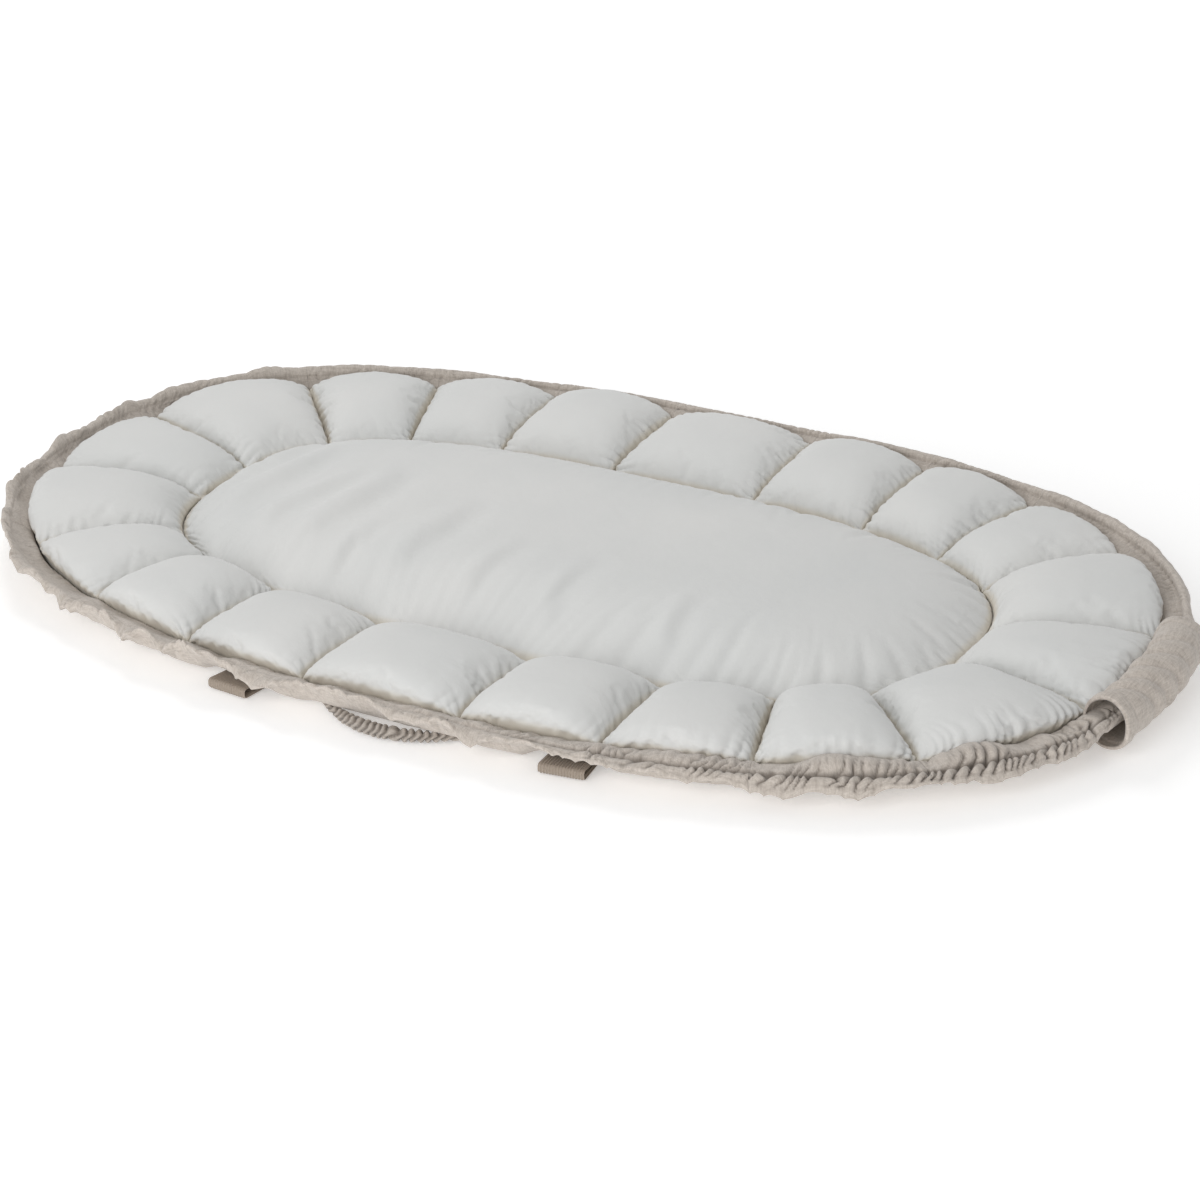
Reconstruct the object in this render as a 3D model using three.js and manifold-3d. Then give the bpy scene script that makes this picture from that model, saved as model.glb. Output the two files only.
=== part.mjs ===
// Infant lounger, opened flat as a play mat. A stuffed centre pad lies inside a ring of stuffed channels, all sewn
// to a linen underside. Each channel can fold up about the seam round the pad, which makes the side of the nest.
// Units are millimetres and +Z is up. The origin is on the floor under the middle of the pad, +X points to the
// foot end, where the closure sleeve is, and -Y is the front side.
import * as THREE from 'three';
import { mergeVertices } from 'three/addons/utils/BufferGeometryUtils.js';
import Module from 'manifold-3d';

const wasm = await Module();
wasm.setup();

// Plan of the mat: the oval seam round the pad and the oval seam at the outer ends of the channels
const padSeam = { length: 732, width: 384, squareness: 2.67 };
const endChannel = 134; // length of a channel, from one seam to the other
const sideChannel = 122;
const ringSeam = {
  length: padSeam.length + 2 * endChannel,
  width: padSeam.width + 2 * sideChannel,
  squareness: 2.4,
};
// where the seams between channels start and end, as shares of a quarter turn away from the foot or head axis
const padSeamShares = [0.07, 0.341, 0.543, 0.738, 0.927];
const ringSeamShares = [0.109, 0.418, 0.627, 0.796, 0.937];

// Cloth and clearances
const linen = 2.4; // linen with its lining
const cotton = 1.2;
const fitGap = 0.3; // between pieces that lie on each other
const seamGap = 0.6; // between pieces that are sewn edge to edge

// Heights above the floor
const padCrown = 58;
const foldHeight = 14; // the seam round the pad, which is also the fold line of the channels
const foldRun = 22; // how far from that seam the underside reaches the floor
const channelCrown = 56;
const channelEndLip = 13; // the outer seam of a channel above the linen under it

// Gathered rim: the linen turned over the elastic drawcord
const casingDiameter = 22;
const casingPleat = 0.9;
const casingClear = 1.5; // from the outer seam of the channels when the rim stands upright
const rimHigh = 36; // middle of the casing where it stands
const wallRun = 48; // from where the underside leaves the floor to the outer seam
// both tables go by sixteenths of a turn from the foot end over the back: how far the rim flops out, and how
// high it stands
const rimFlopShares = [1, 0.8, 0.5, 0.2, 0, 0.1, 0.25, 0.3, 0.4, 0.7, 1.1, 0.8, 0.5, 1, 1.4, 1.3];
const rimRiseShares = [0.5, 0.8, 0.9, 0.8, 0.6, 0.7, 0.9, 1, 0.9, 0.6, 0.3, 0.1, 0, 0, 0, 0.1];

// Closure sleeve over the gap in the casing at the foot end
const sleeveDiameter = 46;
const sleeveLength = 172;
const sleeveShift = 18; // towards the front, from the long axis
const sleeveClear = 1.2; // from the outer seam of the channels
const sleeveFloorGap = 1.5;
const casingNotchShares = [0.25, 0.75]; // the gap in the casing, across the foot channel
const notchRampShare = 0.002;
const notchHemShare = 0.82; // how far out to the casing the hem of the wall lies in that gap

// The middle of the casing lies between these two distances past the outer seam, or flops beyond the second, and
// it lies at least this high
const rimNear = casingDiameter / 2 + casingClear;
const rimFar = sleeveDiameter / 2 + sleeveClear;
const rimLow = sleeveDiameter / 2 + sleeveFloorGap;

// Elastic drawcord and its lock, in that gap
const cordDiameter = 5;
const lockDiameter = 14;
const lockWall = 1.5;
const lockBase = 2;
const lockMouth = 8; // from the cord to the barrel's open end
const lockTravel = 3;
const lockHead = 1.5; // what the plunger still stands out when pressed
const plungerWeb = 1.6;
const springLength = 6.2;
const springWire = 0.9;
const springTurns = 3;
const lockTurns = 20; // sides of its round parts

// Belt loops of webbing, two on each long side
const webbingWidth = 38;
const webbingThickness = 1.8;
const loopReach = 22; // past the outer seam
const loopRoot = 20; // where it is sewn under the wall, inside that seam
const loopSeam = 6; // its two legs sewn together
const loopHeight = 9.6;
const loopGap = 0.5; // under the wall
const loopSpacing = 300;
const loopShift = 18; // towards the foot end

// Gathered elastic handle, one on each long side
const handleDiameter = 11;
const handleSpan = 130;
const handleShift = 11; // towards the foot end
const handleReach = 21;
const handleRoot = 4; // where it is sewn under the wall, inside the outer seam
const handlePleat = 1.1;
const handlePleats = 12;
const handleSides = 6;
const handleElastic = 3;
const handleEndShare = 0.46; // of its diameter, where it is sewn flat
const floorGap = 0.4;

// How finely the soft forms are stepped
const acrossSteps = 6;
const foldMarkShare = 0.36; // of foldRun
const wallMarkShares = [0, 0.6, 0.88]; // of wallRun
const padMarkShares = [0, 0.5]; // of each channel's inner end
const padRings = 4;
const casingSteps = 5;
const sleeveSteps = 10;
const sleeveArcSteps = 8;
const mergeWithin = 1e-4;

const turn = 2 * Math.PI;
const quarter = Math.PI / 2;

const white = { color: 0xe9e7e1, roughness: 0.85, metalness: 0 };
const filling = { color: 0xf4f3ef, roughness: 1, metalness: 0 };
const greige = { color: 0xb9ada1, roughness: 0.95, metalness: 0 };
const webbing = { color: 0xa2968a, roughness: 0.9, metalness: 0 };
const elastic = { color: 0xd9d4cc, roughness: 0.8, metalness: 0 };
const plastic = { color: 0x8d857c, roughness: 0.45, metalness: 0 };
const steel = { color: 0xb8b8ba, roughness: 0.3, metalness: 1 };

function lerp(from, to, share) {
  return from + (to - from) * share;
}

// Flat points of an oval whose squareness is 2 for an ellipse and more for a squarer one
function ovalPoint(oval, angle) {
  const c = Math.cos(angle);
  const s = Math.sin(angle);
  const power = 2 / oval.squareness;
  const x = (Math.sign(c) * Math.abs(c) ** power * oval.length) / 2;
  const y = (Math.sign(s) * Math.abs(s) ** power * oval.width) / 2;
  return new THREE.Vector2(x, y);
}

function ovalNormal(oval, angle) {
  const point = ovalPoint(oval, angle);
  const power = oval.squareness - 1;
  const x = (Math.sign(point.x) * Math.abs((2 * point.x) / oval.length) ** power) / oval.length;
  const y = (Math.sign(point.y) * Math.abs((2 * point.y) / oval.width) ** power) / oval.width;
  return new THREE.Vector2(x, y).normalize();
}

// Angles at distances along the oval, measured from one angle towards another
function ovalWalk(oval, from, to) {
  const steps = 240;
  const angles = [from];
  const lengths = [0];
  for (let k = 1; k <= steps; k += 1) {
    angles.push(lerp(from, to, k / steps));
    const step = ovalPoint(oval, angles[k]).distanceTo(ovalPoint(oval, angles[k - 1]));
    lengths.push(lengths[k - 1] + step);
  }
  const angleAt = (distance) => {
    let k = 1;
    while (k < steps && lengths[k] < distance) k += 1;
    const share = (distance - lengths[k - 1]) / (lengths[k] - lengths[k - 1]);
    return lerp(angles[k - 1], angles[k], share);
  };
  return { total: lengths[steps], angleAt };
}

// The 21 seam angles, clockwise seen from above, so that channel n lies between seams n and n + 1
function seamAngles(shares) {
  const q = shares.map((share) => share * quarter);
  return [
    Math.PI + q[1],
    Math.PI + q[0],
    ...q.map((angle) => Math.PI - angle),
    ...q.toReversed(),
    ...q.map((angle) => -angle),
    ...q.slice(1).toReversed().map((angle) => angle - Math.PI),
  ];
}

// A value from a table that goes once round from the foot end, smooth in between
function around(shares, angle) {
  const place = (((angle / turn) % 1) + 1) * shares.length;
  const before = Math.floor(place);
  const blend = (1 - Math.cos(Math.PI * (place - before))) / 2;
  return lerp(shares[before % shares.length], shares[(before + 1) % shares.length], blend);
}

// Middle of the casing: its distance past the outer seam, and its height
function casingPlace(angle) {
  return {
    reach: lerp(rimNear, rimFar, around(rimFlopShares, angle)),
    height: lerp(rimLow, rimHigh, around(rimRiseShares, angle)),
  };
}

// The linen wall at one place of the rim, in distance past the outer seam and height. The wall leaves the floor at
// its foot, and its two faces meet the round casing at two angles.
function wallAt(angle) {
  const { reach, height } = casingPlace(angle);
  const radius = casingDiameter / 2;
  const slope = Math.atan2(height, wallRun + reach);
  const outerAngle = slope - quarter;
  const innerAngle = outerAngle - Math.acos(1 - linen / radius);
  const onCasing = (a, r) => [reach + r * Math.cos(a), height + r * Math.sin(a)];
  const outerEnd = onCasing(outerAngle, radius);
  const innerEnd = onCasing(innerAngle, radius);
  const under = (distance) => (outerEnd[1] * (distance + wallRun)) / (outerEnd[0] + wallRun);
  const over = (distance) => lerp(linen, innerEnd[1], (distance + wallRun) / (innerEnd[0] + wallRun));
  return { reach, height, outerAngle, innerAngle, onCasing, under, over };
}

// Places across one channel, from seam to seam, each with its line from the pad seam out to the rim
function channelStations(index, acrossShares) {
  const inner = ovalWalk(padSeam, padAngles[index], padAngles[index + 1]);
  const outer = ovalWalk(ringSeam, ringAngles[index], ringAngles[index + 1]);
  const half = seamGap / 2;
  return acrossShares.map((share) => {
    const angle = outer.angleAt(lerp(half, outer.total - half, share));
    const start = ovalPoint(padSeam, inner.angleAt(lerp(half, inner.total - half, share)));
    const end = ovalPoint(ringSeam, angle);
    const out = ovalNormal(ringSeam, angle);
    const length = end.distanceTo(start);
    const along = end.clone().sub(start).divideScalar(length);
    return { share, angle, start, end, out, along, length, wall: wallAt(angle) };
  });
}

// A point over a station: before the outer seam it lies on the channel's line, after it square to the rim
function spot(station, distance, height) {
  const past = distance - station.length;
  const base = past > 0 ? station.end : station.start;
  const way = past > 0 ? station.out : station.along;
  const reach = past > 0 ? past : distance;
  return new THREE.Vector3(base.x + way.x * reach, base.y + way.y * reach, height);
}

// Upper face of the linen underside, by distance from the pad seam
function linenTop(station, distance) {
  const foot = station.length - wallRun;
  if (distance <= foldRun) return lerp(foldHeight, linen, distance / foldRun);
  if (distance <= foot) return linen;
  return station.wall.over(distance - station.length);
}

// Collects triangles, merges their corners and turns all faces out
class Skin {
  constructor() {
    this.corners = [];
  }

  triangle(a, b, c) {
    this.corners.push(a, b, c);
  }

  quad(a, b, c, d) {
    this.triangle(a, b, c);
    this.triangle(a, c, d);
  }

  // a band of faces between rows of points, each row open or closed on itself
  rows(rows, closed = false) {
    for (let j = 1; j < rows.length; j += 1) {
      const count = rows[j].length;
      for (let i = closed ? 0 : 1; i < count; i += 1) {
        const p = (i + count - 1) % count;
        this.quad(rows[j - 1][p], rows[j - 1][i], rows[j][i], rows[j][p]);
      }
    }
  }

  // closes an outline whose second half runs back along its first
  cap(outline) {
    const last = outline.length - 1;
    for (let k = 0; k < last - k; k += 1) {
      this.quad(outline[k], outline[k + 1], outline[last - k - 1], outline[last - k]);
    }
  }

  geometry() {
    const soup = new THREE.BufferGeometry().setFromPoints(this.corners);
    return facesOut(mergeVertices(soup, mergeWithin));
  }
}

function facesOut(geometry) {
  const position = geometry.attributes.position;
  const index = Array.from(geometry.index.array);
  const [a, b, c] = [new THREE.Vector3(), new THREE.Vector3(), new THREE.Vector3()];
  const kept = [];
  let volume = 0;
  for (let k = 0; k < index.length; k += 3) {
    const face = index.slice(k, k + 3);
    if (new Set(face).size < 3) continue;
    kept.push(face);
    a.fromBufferAttribute(position, face[0]);
    b.fromBufferAttribute(position, face[1]);
    c.fromBufferAttribute(position, face[2]);
    volume += a.dot(b.cross(c));
  }
  const turned = volume < 0 ? kept.map(([p, q, r]) => [p, r, q]) : kept;
  geometry.setIndex(turned.flat());
  geometry.computeVertexNormals();
  return geometry;
}

// One closed body through outlines of equal count
function loft(outlines) {
  const skin = new Skin();
  skin.rows(outlines, true);
  skin.cap(outlines[0].toReversed());
  skin.cap(outlines.at(-1));
  return skin.geometry();
}

function solidMesh(name, geometry, look) {
  const mesh = new THREE.Mesh(geometry, new THREE.MeshStandardMaterial(look));
  mesh.name = name;
  return mesh;
}

const number = (index) => String(index + 1).padStart(2, '0');
const footChannel = 11;
const frontChannel = 16;
const backChannel = 6;
const padAngles = seamAngles(padSeamShares);
const ringAngles = seamAngles(ringSeamShares);
const channelCount = padAngles.length - 1;

// Across a channel the stations crowd towards its seams. The foot channel has more, for the gap in its casing.
function acrossSharesOf(index) {
  const steps = Array.from({ length: acrossSteps + 1 }, (_, k) => k / acrossSteps);
  const shares = steps.map((step) => (1 - Math.cos(Math.PI * step)) / 2);
  if (index !== footChannel) return shares;
  const apart = casingNotchShares.flatMap((edge) => [edge - notchRampShare, edge + notchRampShare]);
  const kept = shares.filter((share) => apart.every((edge) => Math.abs(share - edge) > 2 * notchRampShare));
  return [...kept, ...apart].sort((p, q) => p - q);
}

// Stuffed channel: crowned both ways, drawn down to its seams, and lying on the linen
function channelGeometry(stations) {
  const marks = stations.map(({ length }) => [
    seamGap / 2,
    foldRun * foldMarkShare,
    foldRun,
    ...wallMarkShares.map((share) => length - wallRun * (1 - share)),
    length - seamGap / 2,
  ]);
  const lastMark = marks[0].length - 1;
  const seamHeight = (station, distance) => {
    const outerEnd = linenTop(station, station.length) + fitGap + channelEndLip;
    return lerp(foldHeight + fitGap, outerEnd, distance / station.length);
  };
  const row = (j, heightOf) => stations.map((station, i) => {
    return spot(station, marks[i][j], heightOf(station, marks[i][j]));
  });
  const crown = (station, distance) => {
    const seam = seamHeight(station, distance);
    const across = Math.sqrt(1 - Math.abs(2 * station.share - 1) ** 2);
    const alongShare = (distance - seamGap / 2) / (station.length - seamGap);
    const along = Math.sqrt(1 - Math.abs(2 * alongShare - 1) ** 3);
    return lerp(seam, channelCrown, across * along);
  };
  const top = marks[0].map((_, j) => row(j, crown));
  const bottom = top.map((seams, j) => {
    if (j === 0 || j === lastMark) return seams;
    const lying = row(j, (station, distance) => linenTop(station, distance) + fitGap);
    return [seams[0], ...lying.slice(1, -1), seams.at(-1)];
  });
  const skin = new Skin();
  skin.rows(top);
  skin.rows(bottom.map((points) => points.toReversed()));
  return skin.geometry();
}

// Linen under one channel, up its outer end and over the drawcord, pleated where it is gathered
function sidePanelGeometry(stations, index) {
  const radius = casingDiameter / 2;
  const sweep = turn - Math.acos(1 - linen / radius);
  const outlines = stations.map((station, i) => {
    const { wall, length, share } = station;
    const foot = length - wallRun;
    const edge = seamGap / 2;
    const inNotch = index === footChannel && share > casingNotchShares[0] && share < casingNotchShares[1];
    const atSeam = i === 0 || i === stations.length - 1;
    const pleat = atSeam || index === footChannel ? 0 : casingPleat * (i % 2 ? -1 : 1);
    const hemAt = lerp(-wallRun, wall.reach, notchHemShare);
    const rim = Array.from({ length: casingSteps + 1 }, (_, k) => {
      if (inNotch) return [length + hemAt, lerp(wall.under(hemAt), wall.over(hemAt), k / casingSteps)];
      const atWall = k === 0 || k === casingSteps;
      const [x, z] = wall.onCasing(wall.outerAngle + (sweep * k) / casingSteps, radius + (atWall ? 0 : pleat));
      return [length + x, z];
    });
    const under = [[edge, foldHeight - linen], [foldRun, 0], [foot, 0], [length, wall.under(0)]];
    const over = [edge, foldRun, foot, length].map((distance) => [distance, linenTop(station, distance)]);
    return [...under, ...rim, ...over.toReversed()].map(([x, z]) => spot(station, x, z));
  });
  return loft(outlines);
}

// Round the pad: the same places for its cover, its filling and the linen under it
const padTurns = Array.from({ length: channelCount }, (_, index) => {
  const walk = ovalWalk(padSeam, padAngles[index], padAngles[index + 1]);
  return padMarkShares.map((share) => walk.angleAt(walk.total * share));
}).flat();

function padRow(inset, height, share = 1) {
  const oval = { ...padSeam, length: padSeam.length - 2 * inset, width: padSeam.width - 2 * inset };
  return padTurns.map((angle) => {
    const point = ovalPoint(oval, angle).multiplyScalar(share);
    return new THREE.Vector3(point.x, point.y, height);
  });
}

// The crowned top, or a layer that lies a little inside it
function crownRows(inset, lower) {
  const seam = foldHeight + fitGap;
  return Array.from({ length: padRings + 1 }, (_, j) => {
    const share = Math.sin((quarter * j) / padRings);
    return padRow(inset, lerp(seam, padCrown - lower, Math.sqrt(1 - share ** 4)), share);
  });
}

function centreCoverGeometry() {
  const edge = seamGap / 2;
  const skin = new Skin();
  skin.rows([...crownRows(edge, 0), ...crownRows(edge + cotton, cotton).toReversed()], true);
  return skin.geometry();
}

function centreFillGeometry() {
  const edge = seamGap / 2 + cotton + fitGap;
  const under = linen + fitGap;
  const skin = new Skin();
  skin.rows([...crownRows(edge, cotton + fitGap), padRow(foldRun, under), padRow(foldRun, under, 0)], true);
  return skin.geometry();
}

function basePanelGeometry() {
  const edge = seamGap / 2;
  const skin = new Skin();
  skin.rows([
    padRow(foldRun, linen, 0),
    padRow(foldRun, linen),
    padRow(edge, lerp(foldHeight, linen, edge / foldRun)),
    padRow(edge, foldHeight - linen),
    padRow(foldRun, 0),
    padRow(foldRun, 0, 0),
  ], true);
  return skin.geometry();
}

// The angle on the outer seam at a distance from one of its axes, anticlockwise seen from above
function rimAngle(axis, distance) {
  const way = distance < 0 ? -quarter : quarter;
  return ovalWalk(ringSeam, axis, axis + way).angleAt(Math.abs(distance));
}

// A point off the outer seam: how far out and how high
function rimPoint(angle, reach, height) {
  const base = ovalPoint(ringSeam, angle);
  const out = ovalNormal(ringSeam, angle);
  return new THREE.Vector3(base.x + out.x * reach, base.y + out.y * reach, height);
}

// Where an angle between two others first brings a test below zero
function solveAngle(from, to, test) {
  let low = from;
  let high = to;
  for (let k = 0; k < 40; k += 1) {
    const middle = (low + high) / 2;
    if (test(middle) > 0) low = middle;
    else high = middle;
  }
  return low;
}

// Linen sleeve round the casing, with its two long edges sewn to the faces of the wall
function sleeveGeometry() {
  const outer = sleeveDiameter / 2;
  const inner = outer - linen;
  const from = -sleeveShift - sleeveLength / 2;
  const outlines = [];
  for (let k = 0; k <= sleeveSteps; k += 1) {
    const angle = rimAngle(0, from + (sleeveLength * k) / sleeveSteps);
    const wall = wallAt(angle);
    const at = (a, radius) => [wall.reach + radius * Math.cos(a), wall.height + radius * Math.sin(a)];
    const belowWall = (a) => Math.min(...[outer, inner].map((radius) => {
      const [x, z] = at(a, radius);
      return wall.under(x) - fitGap - z;
    }));
    const aboveWall = (a) => Math.min(...[outer, inner].map((radius) => {
      const [x, z] = at(a, radius);
      return z - wall.over(x) - fitGap;
    }));
    const lowLip = solveAngle(-quarter / 2, -2 * quarter, belowWall);
    const highLip = solveAngle(quarter, 3 * quarter, aboveWall);
    const sweep = Array.from({ length: sleeveArcSteps + 1 }, (_, j) => lerp(lowLip, highLip, j / sleeveArcSteps));
    const section = [...sweep.map((a) => at(a, outer)), ...sweep.toReversed().map((a) => at(a, inner))];
    outlines.push(section.map(([x, z]) => rimPoint(angle, x, z)));
  }
  return loft(outlines);
}

// Round section of a tube, as points about its middle
function ringOf(middle, tangent, radius, sides) {
  const side = new THREE.Vector3(0, 0, 1).cross(tangent).normalize();
  const up = tangent.clone().cross(side).normalize();
  return Array.from({ length: sides }, (_, k) => {
    const a = (turn * (k + 0.5)) / sides;
    return middle.clone().addScaledVector(side, radius * Math.cos(a)).addScaledVector(up, radius * Math.sin(a));
  });
}

function tangentsOf(points) {
  return points.map((_, k) => {
    const before = points[Math.max(0, k - 1)];
    const after = points[Math.min(points.length - 1, k + 1)];
    return after.clone().sub(before).normalize();
  });
}

function solidTube(points, radius, sides) {
  const tangents = tangentsOf(points);
  return loft(points.map((point, k) => ringOf(point, tangents[k], radius, sides)));
}

// Line of a handle: sewn under the wall at both ends and lying on the floor in between
function handleLine(axis) {
  const shift = axis > 0 ? -handleShift : handleShift;
  const rings = 2 * handlePleats;
  return Array.from({ length: rings + 1 }, (_, k) => {
    const share = k / rings;
    const angle = rimAngle(axis, shift + (share - 0.5) * handleSpan);
    const bow = Math.sin(Math.PI * share);
    const reach = lerp(-handleRoot, handleReach, bow);
    const radius = (handleDiameter / 2) * lerp(handleEndShare, 1, bow ** 0.8);
    const sewn = wallAt(angle).under(-handleRoot) - fitGap - (handleDiameter / 2) * handleEndShare;
    return { point: rimPoint(angle, reach, lerp(sewn, floorGap + radius, bow)), radius };
  });
}

function handleCoverGeometry(line) {
  const points = line.map(({ point }) => point);
  const tangents = tangentsOf(points);
  const outer = line.map(({ point, radius }, k) => {
    const pleat = k % 2 ? 0 : handlePleat * Math.sin((Math.PI * k) / (line.length - 1));
    return ringOf(point, tangents[k], radius - pleat, handleSides);
  });
  const bore = handleElastic / 2 + fitGap;
  const inner = points.map((point, k) => ringOf(point, tangents[k], bore, handleSides));
  const skin = new Skin();
  skin.rows([...outer, ...inner.filter((_, k) => k % 2 === 0).toReversed(), outer[0]], true);
  return skin.geometry();
}

function handleElasticGeometry(line) {
  return solidTube(line.filter((_, k) => k % 2 === 0).map(({ point }) => point), handleElastic / 2, handleSides);
}

// Webbing folded to a flat loop: one leg on the floor, the other under the wall
function webbingLoopMesh(name, axis, distance) {
  const angle = rimAngle(axis, distance);
  const sides = [-1, 0, 1].map((side) => wallAt(rimAngle(axis, distance + (side * webbingWidth) / 2)));
  const under = (x) => Math.min(...sides.map((wall) => wall.under(x))) - loopGap;
  const crown = floorGap + loopHeight;
  const bend = (wallRun * (crown - under(0))) / (under(0) + loopGap);
  const root = Math.min(-loopRoot, bend);
  const legs = (from, to, inset) => [
    new THREE.Vector2(from, floorGap + inset),
    new THREE.Vector2(to, floorGap + inset),
    new THREE.Vector2(to, crown - inset),
    new THREE.Vector2(Math.max(bend, from + inset), crown - inset),
    new THREE.Vector2(from, Math.min(crown, under(from)) - inset),
  ];
  const shape = new THREE.Shape(legs(root, loopReach, 0));
  shape.holes.push(new THREE.Path(legs(root + loopSeam, loopReach - webbingThickness, webbingThickness)));
  const geometry = new THREE.ExtrudeGeometry(shape, { depth: webbingWidth, bevelEnabled: false, steps: 1 });
  geometry.translate(0, 0, -webbingWidth / 2);
  const out = ovalNormal(ringSeam, angle);
  const outward = new THREE.Vector3(out.x, out.y, 0);
  const up = new THREE.Vector3(0, 0, 1);
  const mesh = solidMesh(name, geometry, webbing);
  mesh.quaternion.setFromRotationMatrix(new THREE.Matrix4().makeBasis(outward, up, outward.clone().cross(up)));
  mesh.position.copy(rimPoint(angle, 0, 0));
  return mesh;
}

// Joins and cuts of closed geometries
function toManifold(geometry) {
  const bare = geometry.clone();
  bare.deleteAttribute('normal');
  bare.deleteAttribute('uv');
  const merged = mergeVertices(bare);
  return new wasm.Manifold(new wasm.Mesh({
    numProp: 3,
    vertProperties: new Float32Array(merged.attributes.position.array),
    triVerts: new Uint32Array(merged.index.array),
  }));
}

function fromManifold(manifold) {
  const { vertProperties, triVerts } = manifold.getMesh();
  const geometry = new THREE.BufferGeometry();
  geometry.setAttribute('position', new THREE.BufferAttribute(vertProperties, 3));
  geometry.setIndex(new THREE.BufferAttribute(triVerts, 1));
  geometry.computeVertexNormals();
  return geometry;
}

// Places along the lock, outwards from the middle of the cord
const slotEnd = cordDiameter / 2 + fitGap;
const plungerEnd = -slotEnd - plungerWeb;
const springOuterEnd = plungerEnd - fitGap;
const springInnerEnd = springOuterEnd - springLength;
const barrelFloor = springInnerEnd - fitGap;
const plungerRadius = lockDiameter / 2 - lockWall - fitGap;
const plungerHead = lockMouth + lockTravel + lockHead;

// Turned about the lock's own axis, which is X
function turned(profile) {
  const points = profile.map(([along, radius]) => new THREE.Vector2(radius, along));
  return new THREE.LatheGeometry(points, lockTurns).rotateZ(-quarter);
}

function lockBarrelGeometry() {
  const outside = barrelFloor - lockBase;
  const bore = lockDiameter / 2 - lockWall;
  const cup = turned([
    [outside, 0],
    [outside, lockDiameter / 2],
    [lockMouth, lockDiameter / 2],
    [lockMouth, bore],
    [barrelFloor, bore],
    [barrelFloor, 0],
  ]);
  const hole = new THREE.CylinderGeometry(slotEnd, slotEnd, 2 * lockDiameter, lockTurns);
  return fromManifold(toManifold(cup).subtract(toManifold(hole)));
}

function lockPlungerGeometry() {
  const stem = turned([
    [plungerEnd, 0],
    [plungerEnd, plungerRadius],
    [plungerHead, plungerRadius],
    [plungerHead, 0],
  ]);
  const slot = new THREE.BoxGeometry(2 * slotEnd + lockTravel, 2 * lockDiameter, 2 * slotEnd);
  slot.translate(lockTravel / 2, 0, 0);
  return fromManifold(toManifold(stem).subtract(toManifold(slot)));
}

function lockSpringGeometry() {
  const radius = lockDiameter / 2 - lockWall - fitGap - springWire / 2;
  const steps = 8 * springTurns;
  const points = Array.from({ length: steps + 1 }, (_, k) => {
    const a = (turn * springTurns * k) / steps;
    const along = lerp(springInnerEnd + springWire / 2, springOuterEnd - springWire / 2, k / steps);
    return new THREE.Vector3(along, radius * Math.cos(a), radius * Math.sin(a));
  });
  const sides = 5;
  const outlines = points.map((point, k) => {
    const a = (turn * springTurns * k) / steps;
    const outwards = new THREE.Vector3(0, Math.cos(a), Math.sin(a));
    return Array.from({ length: sides }, (_, s) => {
      const b = (turn * s) / sides;
      const ring = point.clone().addScaledVector(outwards, (springWire / 2) * Math.cos(b));
      return ring.add(new THREE.Vector3((springWire / 2) * Math.sin(b), 0, 0));
    });
  });
  return loft(outlines);
}

// The drawcord crosses the gap in the casing and runs through the lock
function drawcordGeometry() {
  const [from, to] = casingNotchShares;
  const steps = 10;
  const ends = 2 * notchRampShare;
  const shares = Array.from({ length: steps + 1 }, (_, k) => lerp(from + ends, to - ends, k / steps));
  const points = channelStations(footChannel, shares).map((station) => {
    return spot(station, station.length + station.wall.reach, station.wall.height);
  });
  return solidTube(points, cordDiameter / 2, 8);
}

const root = new THREE.Group();

const centre = new THREE.Group();
centre.add(solidMesh('base_panel', basePanelGeometry(), greige));
centre.add(solidMesh('centre_fill', centreFillGeometry(), filling));
centre.add(solidMesh('centre_cover', centreCoverGeometry(), white));
root.add(centre);

for (let index = 0; index < channelCount; index += 1) {
  const stations = channelStations(index, acrossSharesOf(index));
  const channel = new THREE.Group();
  channel.add(solidMesh(`channel_${number(index)}`, channelGeometry(stations), white));
  channel.add(solidMesh(`side_panel_${number(index)}`, sidePanelGeometry(stations, index), greige));
  root.add(channel);
}

for (const [side, axis] of [['front', -quarter], ['back', quarter]]) {
  const fittings = new THREE.Group();
  const towardsFoot = axis < 0 ? 1 : -1;
  const line = handleLine(axis);
  fittings.add(solidMesh(`side_handle_${side}`, handleCoverGeometry(line), greige));
  fittings.add(solidMesh(`handle_elastic_${side}`, handleElasticGeometry(line), elastic));
  for (const [end, way] of [['head', -1], ['foot', 1]]) {
    const distance = towardsFoot * (loopShift + (way * loopSpacing) / 2);
    fittings.add(webbingLoopMesh(`webbing_loop_${side}_${end}`, axis, distance));
  }
  root.add(fittings);
}

const closure = new THREE.Group();
closure.add(solidMesh('closure_sleeve', sleeveGeometry(), greige));
closure.add(solidMesh('drawcord', drawcordGeometry(), elastic));
root.add(closure);

const lock = new THREE.Group();
lock.position.copy(rimPoint(0, casingPlace(0).reach, casingPlace(0).height));
lock.add(solidMesh('cord_lock_barrel', lockBarrelGeometry(), plastic));
lock.add(solidMesh('cord_lock_plunger', lockPlungerGeometry(), plastic));
lock.add(solidMesh('cord_lock_spring', lockSpringGeometry(), steel));
root.add(lock);

export default root;
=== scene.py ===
import math

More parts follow.
